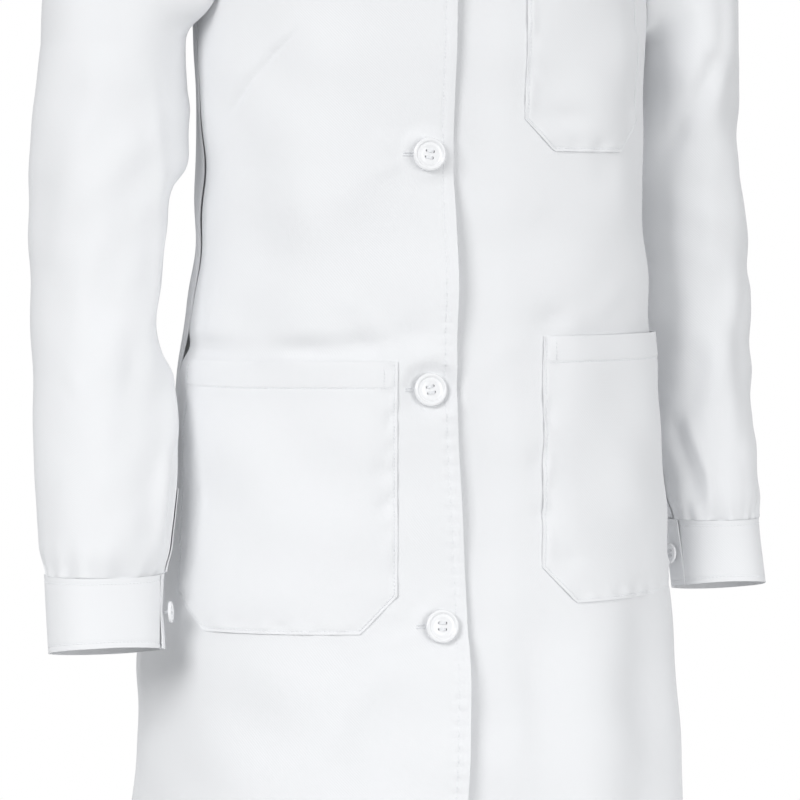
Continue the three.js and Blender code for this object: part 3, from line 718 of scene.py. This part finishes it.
def cuff(side):
    """A band whose ends overlap at the closure, its lower edge tilted, its top level."""
    bottom, top = CUFF_BOTTOM[side], CUFF_TOP[side]
    u = np.linspace(0, 1, SLEEVE_COLUMNS)[None, :]
    share = CUFF_ROWS[:, None] / CUFF_ROWS[-1]
    height = bottom + share * (top - bottom)
    turn = CUFF_CLOSURE + u * (1 + CUFF_OVERLAP)
    ease = CUFF_STANDS_OUT + (CLOTH + GAP) * smooth((u - 0.72) / 0.2)
    stitch = (bump(CUFF_ROWS, 4.4, 0.8) + bump(CUFF_ROWS, 51.8, 0.8))[:, None]
    ease = ease - 0.35 * stitch + 0.7 * uneven(turn * 300, height, 40, 41)
    points = ring_points(side, turn, height, ease)
    points[..., 2] -= 6.5 * np.sin(turn * math.tau) * (1 - share)
    return points, outward(points, points.mean(axis=1, keepdims=True))


def make_sleeves():
    for side, hand in HAND.items():
        body = f"{side}_sleeve"
        piece = cloth(f"{side}_sleeve_cloth", *sleeve(side), wrap=True)
        start, end = sleeve_bend(hand)
        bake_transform(piece)
        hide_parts(body)
        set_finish(piece, "cloth")
        band = cloth(f"{side}_cuff_cloth", *cuff(side))
        add_sheet(band, f"{side}_cuff", body)
        add_slit_binding(side, body)


def sleeve_bend(hand):
    """Ends of a line that runs outwards and down from the armpit, in the frame's metres."""
    start = np.array([hand * 189.0, 0.0, ARMPIT])
    end = start + 270 * np.array([0.75 * hand, 0, -0.66])
    return tuple(place(start)), tuple(place(end))


def add_slit_binding(side, body):
    top = CUFF_TOP[side]
    height = np.linspace(top + 1, top + 62, 22)[:, None]
    turn = CUFF_CLOSURE + np.linspace(-0.005, 0.04, 8)[None, :]
    rise = 1.6 + sleeve_relief(side, turn + 0 * height, height + 0 * turn, top)
    points = ring_points(side, turn, height, rise)
    centre = ring_points(side, np.linspace(0, 1, 9)[None, :-1], height).mean(axis=1, keepdims=True)
    normals = outward(points, centre)
    piece = cloth(f"{side}_slit_binding_cloth", points, normals, 0.8)
    add_sheet(piece, f"{side}_slit_binding", body)


# ---- pockets ----
POCKETS = {
    "right_hip": {"hand": -1, "x": -46, "top": 494, "width": 178, "depth": 202, "chamfer": 28},
    "left_hip": {"hand": 1, "x": 70, "top": 512, "width": 178, "depth": 202, "chamfer": 28},
    "left_chest": {"hand": 1, "x": 52, "top": 794, "width": 112, "depth": 142, "chamfer": 24},
}
POCKET_RISE = CLOTH + 0.5
POCKET_STITCH, POCKET_HEM = 2.4, 20  # stitch line from the edge, hem stitch from the top
POCKET_EDGE = np.array([0, 0.5, 1.2, 2, 2.7, 3.5, 4.5, 6, 8])  # rows and columns near an edge
POCKET_TOP = np.array([22, 21, 20.4, 20, 19.6, 19, 18, 14, 9, 5, 2.5, 1, 0.4, 0])  # rows below the top
POCKET_GAPE = {"right_hip": 2.6, "left_hip": 2.2, "left_chest": 1.0}


def pocket_place(pocket, across, share):
    """Where a pocket's cloth lies on the front, by distance across and share of its height."""
    width, top, depth = pocket["width"], pocket["top"], pocket["depth"]
    to_corner = np.minimum(across, width - across)
    low = np.maximum(0, pocket["chamfer"] - to_corner)
    height = lerp(top - depth + low, top, share)
    x = x_round_front(pocket["x"], across, pocket["hand"], height)
    return x, height, to_corner, height - (top - depth + low)


def pocket_surface(name, across, share, out=0.0):
    pocket = POCKETS[name]
    x, height, to_side, to_bottom = pocket_place(pocket, across, share)
    below_top = pocket["top"] - height
    to_edge = np.minimum(to_side, to_bottom)
    stitch = -0.4 * bump(to_edge, POCKET_STITCH, 0.8) - 0.35 * bump(below_top, POCKET_HEM, 0.9)
    gape = POCKET_GAPE[name] * np.exp(-below_top / 22) * np.sin(np.pi * across / pocket["width"])
    slack = 1.3 * smooth(to_edge / 30) * (1 + 0.8 * uneven(across, height, 55, 50 + len(name)))
    ripple = uneven(height * 1.5, across * 1.5, 14, 45)
    pucker = 0.8 * ripple * bump(to_edge, 4.5, 5)
    hem = 0.35 * smooth(POCKET_HEM - below_top)
    rise = POCKET_RISE + stitch + gape + slack + pucker + hem
    return front_surface(pocket["hand"], x, height, rise + out)


def pocket_columns(width):
    return np.concatenate([POCKET_EDGE, np.arange(11, width - 10, 3.5), (width - POCKET_EDGE)[::-1]])


def make_pockets():
    for name, pocket in POCKETS.items():
        depth = pocket["depth"]
        across = pocket_columns(pocket["width"])[None, :]
        up = np.concatenate([POCKET_EDGE, np.arange(11, depth - 24, 3.5), depth - POCKET_TOP])
        share = up[:, None] / depth
        points, normals = pocket_surface(name, across + 0 * share, share + 0 * across)
        piece = cloth(f"{name}_pocket_cloth", points, normals, CLOTH - 0.1)
        add_sheet(piece, f"{name}_pocket", "coat")


# ---- lapels and collar ----
LAPEL_WIDTH, LAPEL_HEIGHT, LAPEL_LIFT = 72, 92, 2.6


def roll_line_x(hand, height):
    turn = (height - BREAK) / (NECK_HEIGHT - BREAK)
    return lerp(front_edge_x(hand, BREAK), hand * NECK_X, turn)


def lapel_start(hand):
    height = BREAK + 4
    while hand > 0 and roll_line_x(1, height) < roll_line_x(-1, height) + 3:
        height += 1
    return height


def lapel_surface(hand, u, v, out=0.0):
    """A lapel, u from its roll line to its free edge and v upwards."""
    low, high = lapel_start(hand), BREAK + LAPEL_HEIGHT
    roll = lerp(low, high, v)
    height = roll + 16 * u * v
    x = roll_line_x(hand, roll) + hand * lerp(4, LAPEL_WIDTH, v**0.8) * u
    lift = LAPEL_LIFT + CLOTH + 3.0 * np.sin(np.pi * np.clip(u, 0, 1) ** 0.7) * (0.4 + 0.6 * (1 - v))
    lift = lift + 2.0 * smooth(u) * smooth((v - 0.3) / 0.7) + 0.8 * uneven(x, height, 40, 61 + hand)
    base, normal = smooth_front(x, height)
    return base + normal * (lift + out)[..., None], normal


def make_lapels():
    near_roll = [0, 0.01, 0.03, 0.06]
    near_edge = [0.9, 0.93, 0.96, 0.98, 0.993, 1]
    u = np.array([*near_roll, *np.linspace(0.1, 0.86, 20), *near_edge])[None, :]
    v = np.linspace(0, 1, 40)[:, None]
    for side, hand in HAND.items():
        points, normals = lapel_surface(hand, u + 0 * v, v + 0 * u)
        edge = bump(u, 0.9, 0.015) * smooth((v - 0.2) / 0.2)
        points = points - normals * (0.4 * edge)[..., None]
        piece = cloth(f"{side}_lapel_cloth", points, normals)
        add_sheet(piece, f"{side}_lapel", "coat")


BACK_SHARE = 0.66  # share of the collar behind the shoulder seams
STAND_SHARE = 0.8  # share of the collar that has a stand
COLLAR_FRONT = 928
STAND_HEIGHT, FALL_WIDTH, BACK_FALL, COLLAR_LIFT = 26, 50, 34, 9


def collar_share(t):
    """Angle round the neck, share of the way down the front, and side."""
    angle = np.clip(t / BACK_SHARE, -1, 1) * math.pi / 2
    down = np.clip((np.abs(t) - BACK_SHARE) / (1 - BACK_SHARE), 0, 1)
    return angle, down, np.where(t < 0, -1.0, 1.0)


def neck_edge(t):
    angle, down, hand = collar_share(t)
    behind = np.abs(t) <= BACK_SHARE
    x, depth = NECK_X * np.sin(angle), NECK_DEPTH * np.cos(angle)
    height = lerp(NECK_HEIGHT, COLLAR_FRONT, down**2)
    x_front = roll_line_x(hand, height)
    back = stack(x, depth, height_at_depth(x, depth))
    front = stack(x_front, -torso_depth(x_front, height), height)
    return np.where(behind[..., None], back, front)


def fall_edge(t):
    angle, down, hand = collar_share(t)
    reach = NECK_X + FALL_WIDTH
    x, depth = reach * np.sin(angle), (NECK_DEPTH + BACK_FALL) * np.cos(angle)
    back = stack(x, depth, height_at_depth(x, depth) + COLLAR_LIFT)
    x_front = hand * lerp(reach, reach - 12, down)
    height = lerp(shoulder_height(reach), COLLAR_FRONT - 4, down**2)
    base, normal = smooth_front(x_front, height)
    lift = lerp(np.array([0, 0, 1.0]), normal, smooth(down)[..., None]) * COLLAR_LIFT
    return np.where((np.abs(t) <= BACK_SHARE)[..., None], back, base + lift)


def towards_front(t):
    """0 behind the shoulder seams, 1 where the stand of the collar ends."""
    return smooth((np.abs(t) - BACK_SHARE) / (STAND_SHARE - BACK_SHARE))


def stand_point(t, v):
    foot = neck_edge(t) + np.array([0, 0, 1.4])
    rise = stack(-0.14 * foot[..., 0], -0.14 * foot[..., 1], STAND_HEIGHT * (1 - 0.75 * towards_front(t)))
    return foot + rise * v[..., None]


def collar_fall(t, v):
    """From the top of the stand over a bend to the free edge."""
    front = towards_front(t)
    top = stand_point(t, np.ones_like(t)) + stack(0, -9 * front, 2 + 3 * front)
    end = fall_edge(t)
    outwards = (end - top) * np.array([1, 1, 0])
    top = top + 3.5 * unit(outwards)
    bend = lerp(top, end, 0.4) + np.array([0, 0, 9])
    v = v[..., None]
    return lerp(lerp(top, bend, v), lerp(bend, end, v), v)


def make_collar():
    t = np.linspace(-STAND_SHARE, STAND_SHARE, 90)[None, :]
    v = np.linspace(0, 1, 10)[:, None]
    points = stand_point(t + 0 * v, v + 0 * t)
    piece = cloth("collar_stand_cloth", points, outward(points, [0, 20, 960]))
    add_sheet(piece, "collar_stand", "coat")
    t = np.linspace(-1, 1, 150)[None, :]
    v = np.concatenate([np.linspace(0, 0.84, 18), [0.88, 0.905, 0.92, 0.935, 0.96, 0.985, 1]])[:, None]
    points = collar_fall(t + 0 * v, v + 0 * t)
    normals = outward(points, [0, 0, 880])
    relief = 0.9 * uneven(t * 220, v * 50, 60, 71) * v - 0.35 * bump(v, 0.905, 0.015)
    points = points + normals * relief[..., None]
    piece = cloth("collar_cloth", points, normals)
    add_sheet(piece, "collar", "coat")


# ---- buttons, threads and hanger loop ----
BUTTON = {"radius": 12.5, "thickness": 3.4, "hole": 1.1, "offset": 2.4, "stand_off": 1.2}
CUFF_BUTTON = {"radius": 8.0, "thickness": 2.8, "hole": 1.0, "offset": 1.9, "stand_off": 2.4}
FRONT_SHANK, CUFF_SHANK = 5.5, 2.5  # how deep the shanks go
SHANK_TURNS = 7
BUTTON_LEANS, CUFF_BUTTON_LEAN = [4, -9, 12, -3], 7  # degrees, since no button sits quite straight
RIM_PROFILE = [  # share of the radius, share of the thickness
    (0, 0.02), (0.78, 0), (0.88, 0.08), (0.96, 0.26), (0.995, 0.46), (1.0, 0.58), (0.985, 0.75),
    (0.95, 0.89), (0.91, 0.97), (0.87, 1.0), (0.83, 0.97), (0.79, 0.88), (0.76, 0.76), (0.73, 0.69),
    (0.70, 0.68), (0.66, 0.73), (0.60, 0.79), (0.54, 0.78), (0.46, 0.70), (0.38, 0.66), (0, 0.66),
]


def lathe(name, profile, segments=72):
    """A body of revolution about z, closed at the axis at both ends."""
    rings = [(r, z) for r, z in profile if r > 0]
    verts = [(0, 0, profile[0][1]), (0, 0, profile[-1][1])]
    turns = [n * math.tau / segments for n in range(segments)]
    verts += [(r * math.cos(a), r * math.sin(a), z) for r, z in rings for a in turns]
    faces = grid_faces(len(rings), segments, True, 2)
    last = len(verts) - segments
    for n in range(segments):
        k = (n + 1) % segments
        faces += [[0, 2 + k, 2 + n], [1, last + n, last + k]]
    return add_mesh(name, verts, faces)


def rod(name, radius, low, high, x, y, segments=20):
    piece = lathe(name, [(0, low), (radius, low), (radius, high), (0, high)], segments)
    piece.data.transform(Matrix.Translation((x, y, 0)))
    return piece


def hole_places(size):
    off = size["offset"]
    return [(off, off), (off, -off), (-off, off), (-off, -off)]


def button_disc(name, size):
    """A turned disc with drilled holes, in mm."""
    low, thick = size["stand_off"], size["thickness"]
    disc = lathe(name, [(r * size["radius"], low + z * thick) for r, z in RIM_PROFILE])
    for n, (x, y) in enumerate(hole_places(size)):
        drill = rod(f"{name}_drill_{n}", size["hole"], low - 2, low + thick + 2, x, y)
        cut = disc.modifiers.new("hole", "BOOLEAN")
        cut.object = drill
        cut.operation = "DIFFERENCE"
        cut.solver = "EXACT"
        bpy.context.view_layer.update()
        drilled = disc.evaluated_get(bpy.context.evaluated_depsgraph_get())
        cut_mesh = bpy.data.meshes.new_from_object(drilled)
        disc.modifiers.clear()
        disc.data = cut_mesh
        bpy.data.objects.remove(drill)
    soften = disc.modifiers.new("soft edges", "BEVEL")
    soften.width = 0.00022  # metres, which the disc is scaled to when it is sewn on
    soften.segments = 2
    soften.angle_limit = math.radians(50)
    return disc


def strand(name, paths, radius, sides=8):
    """Round threads through lists of points, all in one mesh."""
    mesh_points, faces = [], []
    for path in paths:
        path = [Vector(point) for point in path]
        start = len(mesh_points)
        for n, point in enumerate(path):
            along = (path[min(n + 1, len(path) - 1)] - path[max(n - 1, 0)]).normalized()
            side = along.orthogonal() if n == 0 else side - along * side.dot(along)
            side.normalize()
            other = along.cross(side)
            end = n in (0, len(path) - 1)
            width = radius * (0.55 if end else 1)
            for k in range(sides):
                angle = k * math.tau / sides
                mesh_points.append(point + width * (side * math.cos(angle) + other * math.sin(angle)))
        faces += [face[::-1] for face in grid_faces(len(path), sides, True, start, True)]
        faces.append([start + k for k in reversed(range(sides))])
        faces.append([len(mesh_points) - sides + k for k in range(sides)])
    return add_mesh(name, mesh_points, faces)


def button_thread(name, size, depth):
    """Four strands over each pair of holes, down through the button and round the shank."""
    off, low = size["offset"], size["stand_off"]
    face = low + 0.66 * size["thickness"]
    paths = []
    for hand in (-1, 1):
        for lane in (-0.75, -0.25, 0.25, 0.75):
            y = hand * off + lane
            down, edge = (-off, y, low - 0.5), (-off, y, face)
            over = [down, edge, (-off * 0.8, y, face + 0.5), (0, y, face + 0.7)]
            paths.append(over + [(-a, b, c) for a, b, c in reversed(over[:-1])])
    shares = np.linspace(0, 1, SHANK_TURNS * 12)
    angles = np.arange(SHANK_TURNS * 12) * math.tau / 12
    paths.append(stack(np.cos(angles), np.sin(angles), lerp(-depth, low - 0.3, shares)))
    return strand(name, paths, 0.34)


def frame_at(point, normal):
    """Matrix of the frame on a point, z along the normal and x level, scaled to metres."""
    origin = Vector(place(point))
    z = Vector(normal).normalized()
    x = Vector((0, 0, 1)).cross(z).normalized()
    turned = Matrix((x, z.cross(x), z)).transposed().to_4x4()
    return Matrix.Translation(origin) @ turned @ Matrix.Scale(0.001, 4)


def sew_button(name, size, where, depth, lean):
    disc = button_disc(f"{name}_disc", size)
    yarn = button_thread(f"{name}_yarn", size, depth)
    for piece in (disc, yarn):
        piece.data.transform(Matrix.Rotation(math.radians(lean), 4, "Z"))
        piece.data.transform(where)
    belong(disc, name, "button_plastic", name)
    belong(yarn, name, "sewing_thread", f"{name}_thread")


def cuff_button_place(side):
    u = 1 - 0.42 * CUFF_OVERLAP / (1 + CUFF_OVERLAP)
    turn = CUFF_CLOSURE + u * (1 + CUFF_OVERLAP)
    height = (CUFF_BOTTOM[side] + CUFF_TOP[side]) / 2
    ease = CUFF_STANDS_OUT + 1.2 + 2
    step = 1e-3

    def at(turn_step, height_step):
        return ring_points(side, np.float64(turn + turn_step), np.float64(height + height_step), ease)

    along_u = place(at(step, 0)) - place(at(-step, 0))
    along_v = place(at(0, 1)) - place(at(0, -1))
    return at(0, 0), np.cross(along_u, along_v) * HAND[side]


def make_buttons():
    for n, height in enumerate(BUTTON_HEIGHTS):
        where = frame_at(*smooth_front(closing_x(height), np.float64(height)))
        sew_button(f"front_button_{n + 1}", BUTTON, where, FRONT_SHANK, BUTTON_LEANS[n])
    for side in HAND:
        where = frame_at(*cuff_button_place(side))
        sew_button(f"{side}_cuff_button", CUFF_BUTTON, where, CUFF_SHANK, CUFF_BUTTON_LEAN)


def make_hanger_loop():
    across = np.linspace(-23, 23, 25)
    foot = neck_edge(across / NECK_X * 0.4)
    share = across / 46 + 0.5
    path = stack(across, foot[:, 1] - 9, foot[:, 2] + 13 - 12 * 4 * share * (1 - share))
    loop = strand("hanger_tape", [place(path).tolist()], 0.0016, 12)
    belong(loop, "coat", "loop_tape", "hanger_loop")


# ---- stitching ----
STITCH_PITCH, STITCH_LENGTH, STITCH_RADIUS = 2.9, 2.3, 0.24
HEM_STITCH = 18.0  # above the hem


def stitches(name, points, normals, body):
    """A row of separate small stitches lying on a line of surface points."""
    run = arc_lengths(points, 0)
    places = np.arange(STITCH_PITCH, run[-1] - STITCH_PITCH, STITCH_PITCH)

    def sample(values, at):
        return np.stack([np.interp(at, run, values[:, n]) for n in range(3)], axis=-1)

    middle, out = sample(points, places), unit(sample(normals, places))
    along = unit(sample(points, places + 1) - sample(points, places - 1))
    side = np.cross(along, out)
    sides = 6
    rings = [(-0.5, -0.22, 0.6), (-0.36, 0.06, 1), (0, 0.16, 1.1), (0.36, 0.06, 1), (0.5, -0.22, 0.6)]
    verts, faces = [], []
    for share, rise, swell in rings:
        for k in range(sides):
            angle = k * math.tau / sides
            across = side * math.cos(angle) + out * math.sin(angle)
            offset = along * share * STITCH_LENGTH + out * rise + across * STITCH_RADIUS * swell
            verts.append(middle + offset)
    verts = np.stack(verts, axis=1).reshape(-1, 3)
    ring_faces = grid_faces(len(rings), sides, True)
    ends = [list(reversed(range(sides))), [len(rings) * sides - sides + k for k in range(sides)]]
    for n in range(len(places)):
        start = n * len(rings) * sides
        faces += [[start + corner for corner in face] for face in ring_faces + ends]
    belong(mesh_object(name, verts, faces), body, "sewing_thread")


def front_stitches():
    height = np.arange(4, BREAK - 6, 1.5)
    points, normals = front_surface(-1, front_edge_x(-1, height) - EDGE_STITCH, height, 0.1)
    stitches("front_edge_stitches", points, normals, "coat")
    for side, hand in HAND.items():
        x = front_edge_x(hand, HEM_STITCH) + np.arange(12, 222, 2.0) * hand
        x = x[np.abs(x) < torso_ring(HEM_STITCH)[0] - 4]
        points, normals = front_surface(hand, x, HEM_STITCH + 0 * x, 0.1)
        stitches(f"{side}_front_hem_stitches", points, normals, "coat")


def pocket_stitches():
    for name, pocket in POCKETS.items():
        width, depth, cut = pocket["width"], pocket["depth"], pocket["chamfer"]
        inset, corner = POCKET_STITCH, cut + POCKET_STITCH * 0.4
        rows = {
            "edge": [
                (inset, depth), (inset, corner), (corner, inset),
                (width - corner, inset), (width - inset, corner), (width - inset, depth),
            ],
            "hem": [(3, depth - POCKET_HEM), (width - 3, depth - POCKET_HEM)],
            "corner_box": [(10, depth - POCKET_HEM), (10, depth - 2)],
        }
        for row, corners in rows.items():
            line = dense(corners)
            across, up = line[:, 0], line[:, 1]
            low = np.maximum(0, cut - np.minimum(across, width - across))
            share = (up - low) / (depth - low)
            points, normals = pocket_surface(name, across, share, 0.12)
            stitches(f"{name}_pocket_{row}_stitches", points, normals, "coat")


def dense(corners, step=1.5):
    """Points about a step apart along straight lines between corners."""
    line = []
    for start, end in zip(corners[:-1], corners[1:]):
        count = max(2, int(math.dist(start, end) / step))
        line += [lerp(np.array(start, float), np.array(end, float), n / count) for n in range(count)]
    return np.array(line + [np.array(corners[-1], float)])


def cuff_stitches():
    for side in HAND:
        band, normals = cuff(side)
        for label, row in STITCHED_ROWS.items():
            points = band[row] + normals[row] * 0.1
            stitches(f"{side}_cuff_{label}_stitches", points, normals[row], f"{side}_sleeve")


def collar_stitches():
    v = np.linspace(0.04, 1, 60)
    for side, hand in HAND.items():
        points, normals = lapel_surface(hand, 0.9 + 0 * v, v, -0.2)
        stitches(f"{side}_lapel_stitches", points, normals, "coat")


def buttonhole_stitches():
    """Worked edges of the buttonholes: close cross threads along both sides of each slot."""
    for n, height in enumerate(BUTTON_HEIGHTS):
        paths = []
        for step in np.arange(-19, -2.6, 0.5):
            for lane in (-1, 1):
                x = np.array([closing_x(height) + step] * 4)
                h = height + lane * np.array([0.25, 0.6, 1.4, 1.8])
                points, _ = front_surface(-1, x, h, np.array([-0.2, 0.16, 0.16, -0.2]))
                paths.append(place(points).tolist())
        belong(strand(f"buttonhole_{n + 1}_thread", paths, 0.00024, 5), "coat", "sewing_thread")


# ---- materials ----
def set_sockets(node, values):
    """Constants on a node's own sockets, which are named with _ for a space."""
    for socket, value in values.items():
        node.inputs[socket.replace("_", " ")].default_value = value


def add_node(tree, kind, **values):
    node = tree.nodes.new(kind)
    set_sockets(node, values)
    return node


def wire(tree, wires):
    """Links of a node tree, each from an output of one node to an input of another."""
    for start, output, end, socket in wires:
        tree.links.new(start.outputs[output], end.inputs[socket])


def new_material(name, colour, roughness, **values):
    material = bpy.data.materials.new(name)
    material.use_nodes = True
    shader = material.node_tree.nodes["Principled BSDF"]
    shader.inputs["Base Color"].default_value = (*colour, 1)
    shader.inputs["Roughness"].default_value = roughness
    set_sockets(shader, values)
    return material, shader


def add_weave(material, shader, pitch, depth):
    """Fine diagonal twill and yarn unevenness, in metres of the cloth's own UVs."""
    tree = material.node_tree
    cloth_uv = add_node(tree, "ShaderNodeTexCoord")
    twill = add_node(tree, "ShaderNodeTexWave", Scale=0.314 / pitch, Distortion=1.2)
    twill.bands_direction = "DIAGONAL"
    yarn = add_node(tree, "ShaderNodeTexNoise", Scale=0.9 / pitch, Detail=3)
    both = add_node(tree, "ShaderNodeMath")
    both.operation = "ADD"
    raised = add_node(tree, "ShaderNodeBump", Strength=0.2, Distance=depth)
    wire(tree, [
        (cloth_uv, "UV", twill, "Vector"),
        (cloth_uv, "UV", yarn, "Vector"),
        (twill, "Fac", both, 0),
        (yarn, "Fac", both, 1),
        (both, "Value", raised, "Height"),
        (raised, "Normal", shader, "Normal"),
    ])


def cotton(name, colour):
    material, shader = new_material(name, colour, 0.9, Sheen_Weight=0.12, Sheen_Roughness=0.5)
    shader.inputs["Specular IOR Level"].default_value = 0.15
    add_weave(material, shader, 0.0011, 0.00012)
    return material


def white_plastic():
    return new_material("white button plastic", (0.90, 0.905, 0.915), 0.25, Coat_Weight=0.2)[0]


def plain_thread(name, colour):
    return new_material(name, colour, 0.8, Sheen_Weight=0.2)[0]


def dress():
    """Give every piece the material of its slot."""
    looks = {
        "cloth": cotton("white coat cotton", (0.85, 0.857, 0.87)),
        "button_plastic": white_plastic(),
        "sewing_thread": plain_thread("white sewing thread", (0.84, 0.85, 0.87)),
        "loop_tape": plain_thread("white loop tape", (0.8, 0.8, 0.8)),
    }
    for piece in bpy.context.scene.objects:
        look = looks.get(piece.get("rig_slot", ""))
        if look and piece.type == "MESH" and "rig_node" not in piece:
            piece.data.materials.clear()
            piece.data.materials.append(look)


# ---- surroundings: camera, lights and floor ----
VIEW_TURN, VIEW_RISE, VIEW_DISTANCE = -15, 3, 2.6  # degrees, degrees, metres
LENS = 149
AIM_HEIGHT, AIM_LEFT = 459, 11.8
FLOOR_RADIUS, FLOOR_DROP = 0.85, 0.05  # metres; the coat hangs clear of the floor
LIGHTS = [  # name; right of, nearer than and above the aim; size in metres and power in watts
    ("key", -1.4, 2.3, 1.1, 1.1, 38),
    ("left side", -2.3, 0.8, 0.4, 1.6, 4),
    ("right side", 2.0, 1.7, 0.2, 1.6, 26),
    ("behind", 0.8, -2.4, 1.2, 1.6, 22),
]


def view_axes():
    turn = math.radians(VIEW_TURN)
    right = Vector((math.cos(turn), math.sin(turn), 0))
    rise = math.radians(VIEW_RISE)
    towards = Vector((math.sin(turn) * math.cos(rise), -math.cos(turn) * math.cos(rise), math.sin(rise)))
    return right, towards


def aim_point():
    right, _ = view_axes()
    axis = Vector((MIDDLE_X, MIDDLE_Y, HEM_Z + AIM_HEIGHT)) / 1000
    return axis - right * AIM_LEFT / 1000


def look_along(thing, target):
    thing.rotation_euler = (target - thing.location).to_track_quat("-Z", "Y").to_euler()


def add_camera():
    lens = bpy.data.cameras.new("camera")
    lens.lens = LENS
    camera = bpy.data.objects.new("camera", lens)
    bpy.context.scene.collection.objects.link(camera)
    camera.location = aim_point() + view_axes()[1] * VIEW_DISTANCE
    look_along(camera, aim_point())
    bpy.context.scene.camera = camera


def add_light(name, right, towards, up, size, power):
    """A square lamp, placed to the right of the aim, towards the camera and up, in metres."""
    view_right, view_towards = view_axes()
    level = Vector((view_towards.x, view_towards.y, 0)).normalized()
    light = bpy.data.lights.new(name, "AREA")
    light.size = size
    light.energy = power
    lamp = bpy.data.objects.new(name, light)
    bpy.context.scene.collection.objects.link(lamp)
    lamp.location = aim_point() + view_right * right + level * towards + Vector((0, 0, up))
    look_along(lamp, aim_point())


def add_world():
    """White where the camera sees it; as a light it is dim, and dimmest from below."""
    world = bpy.data.worlds.new("white room")
    world.use_nodes = True
    bpy.context.scene.world = world
    tree = world.node_tree
    tree.nodes.clear()
    out = add_node(tree, "ShaderNodeOutputWorld")
    mix = add_node(tree, "ShaderNodeMixShader")
    path = add_node(tree, "ShaderNodeLightPath")
    seen = add_node(tree, "ShaderNodeBackground", Color=(1, 1, 1, 1))
    lit = add_node(tree, "ShaderNodeBackground", Color=(0.97, 0.985, 1, 1))
    way = add_node(tree, "ShaderNodeTexCoord")
    apart = add_node(tree, "ShaderNodeSeparateXYZ")
    by_height = add_node(tree, "ShaderNodeMapRange", From_Min=-1, To_Min=0.12, To_Max=0.58)
    wire(tree, [
        (way, "Generated", apart, "Vector"),
        (apart, "Z", by_height, "Value"),
        (by_height, "Result", lit, "Strength"),
        (path, "Is Camera Ray", mix, "Fac"),
        (lit, "Background", mix, 1),
        (seen, "Background", mix, 2),
        (mix, "Shader", out, "Surface"),
    ])


def add_floor():
    bpy.ops.mesh.primitive_circle_add(vertices=96, radius=FLOOR_RADIUS, fill_type="NGON")
    floor = bpy.context.object
    floor.name = "floor"
    floor.location = (MIDDLE_X / 1000, MIDDLE_Y / 1000, HEM_Z / 1000 - FLOOR_DROP)
    floor.data.materials.append(new_material("pale floor", (0.8, 0.8, 0.8), 0.8)[0])


make_panels()
make_facings()
make_sleeves()
make_pockets()
make_lapels()
make_collar()
make_buttons()
make_hanger_loop()
front_stitches()
pocket_stitches()
cuff_stitches()
collar_stitches()
buttonhole_stitches()
dress()
add_camera()
add_world()
for lamp in LIGHTS:
    add_light(*lamp)
add_floor()
bpy.context.scene.view_settings.view_transform = "Standard"
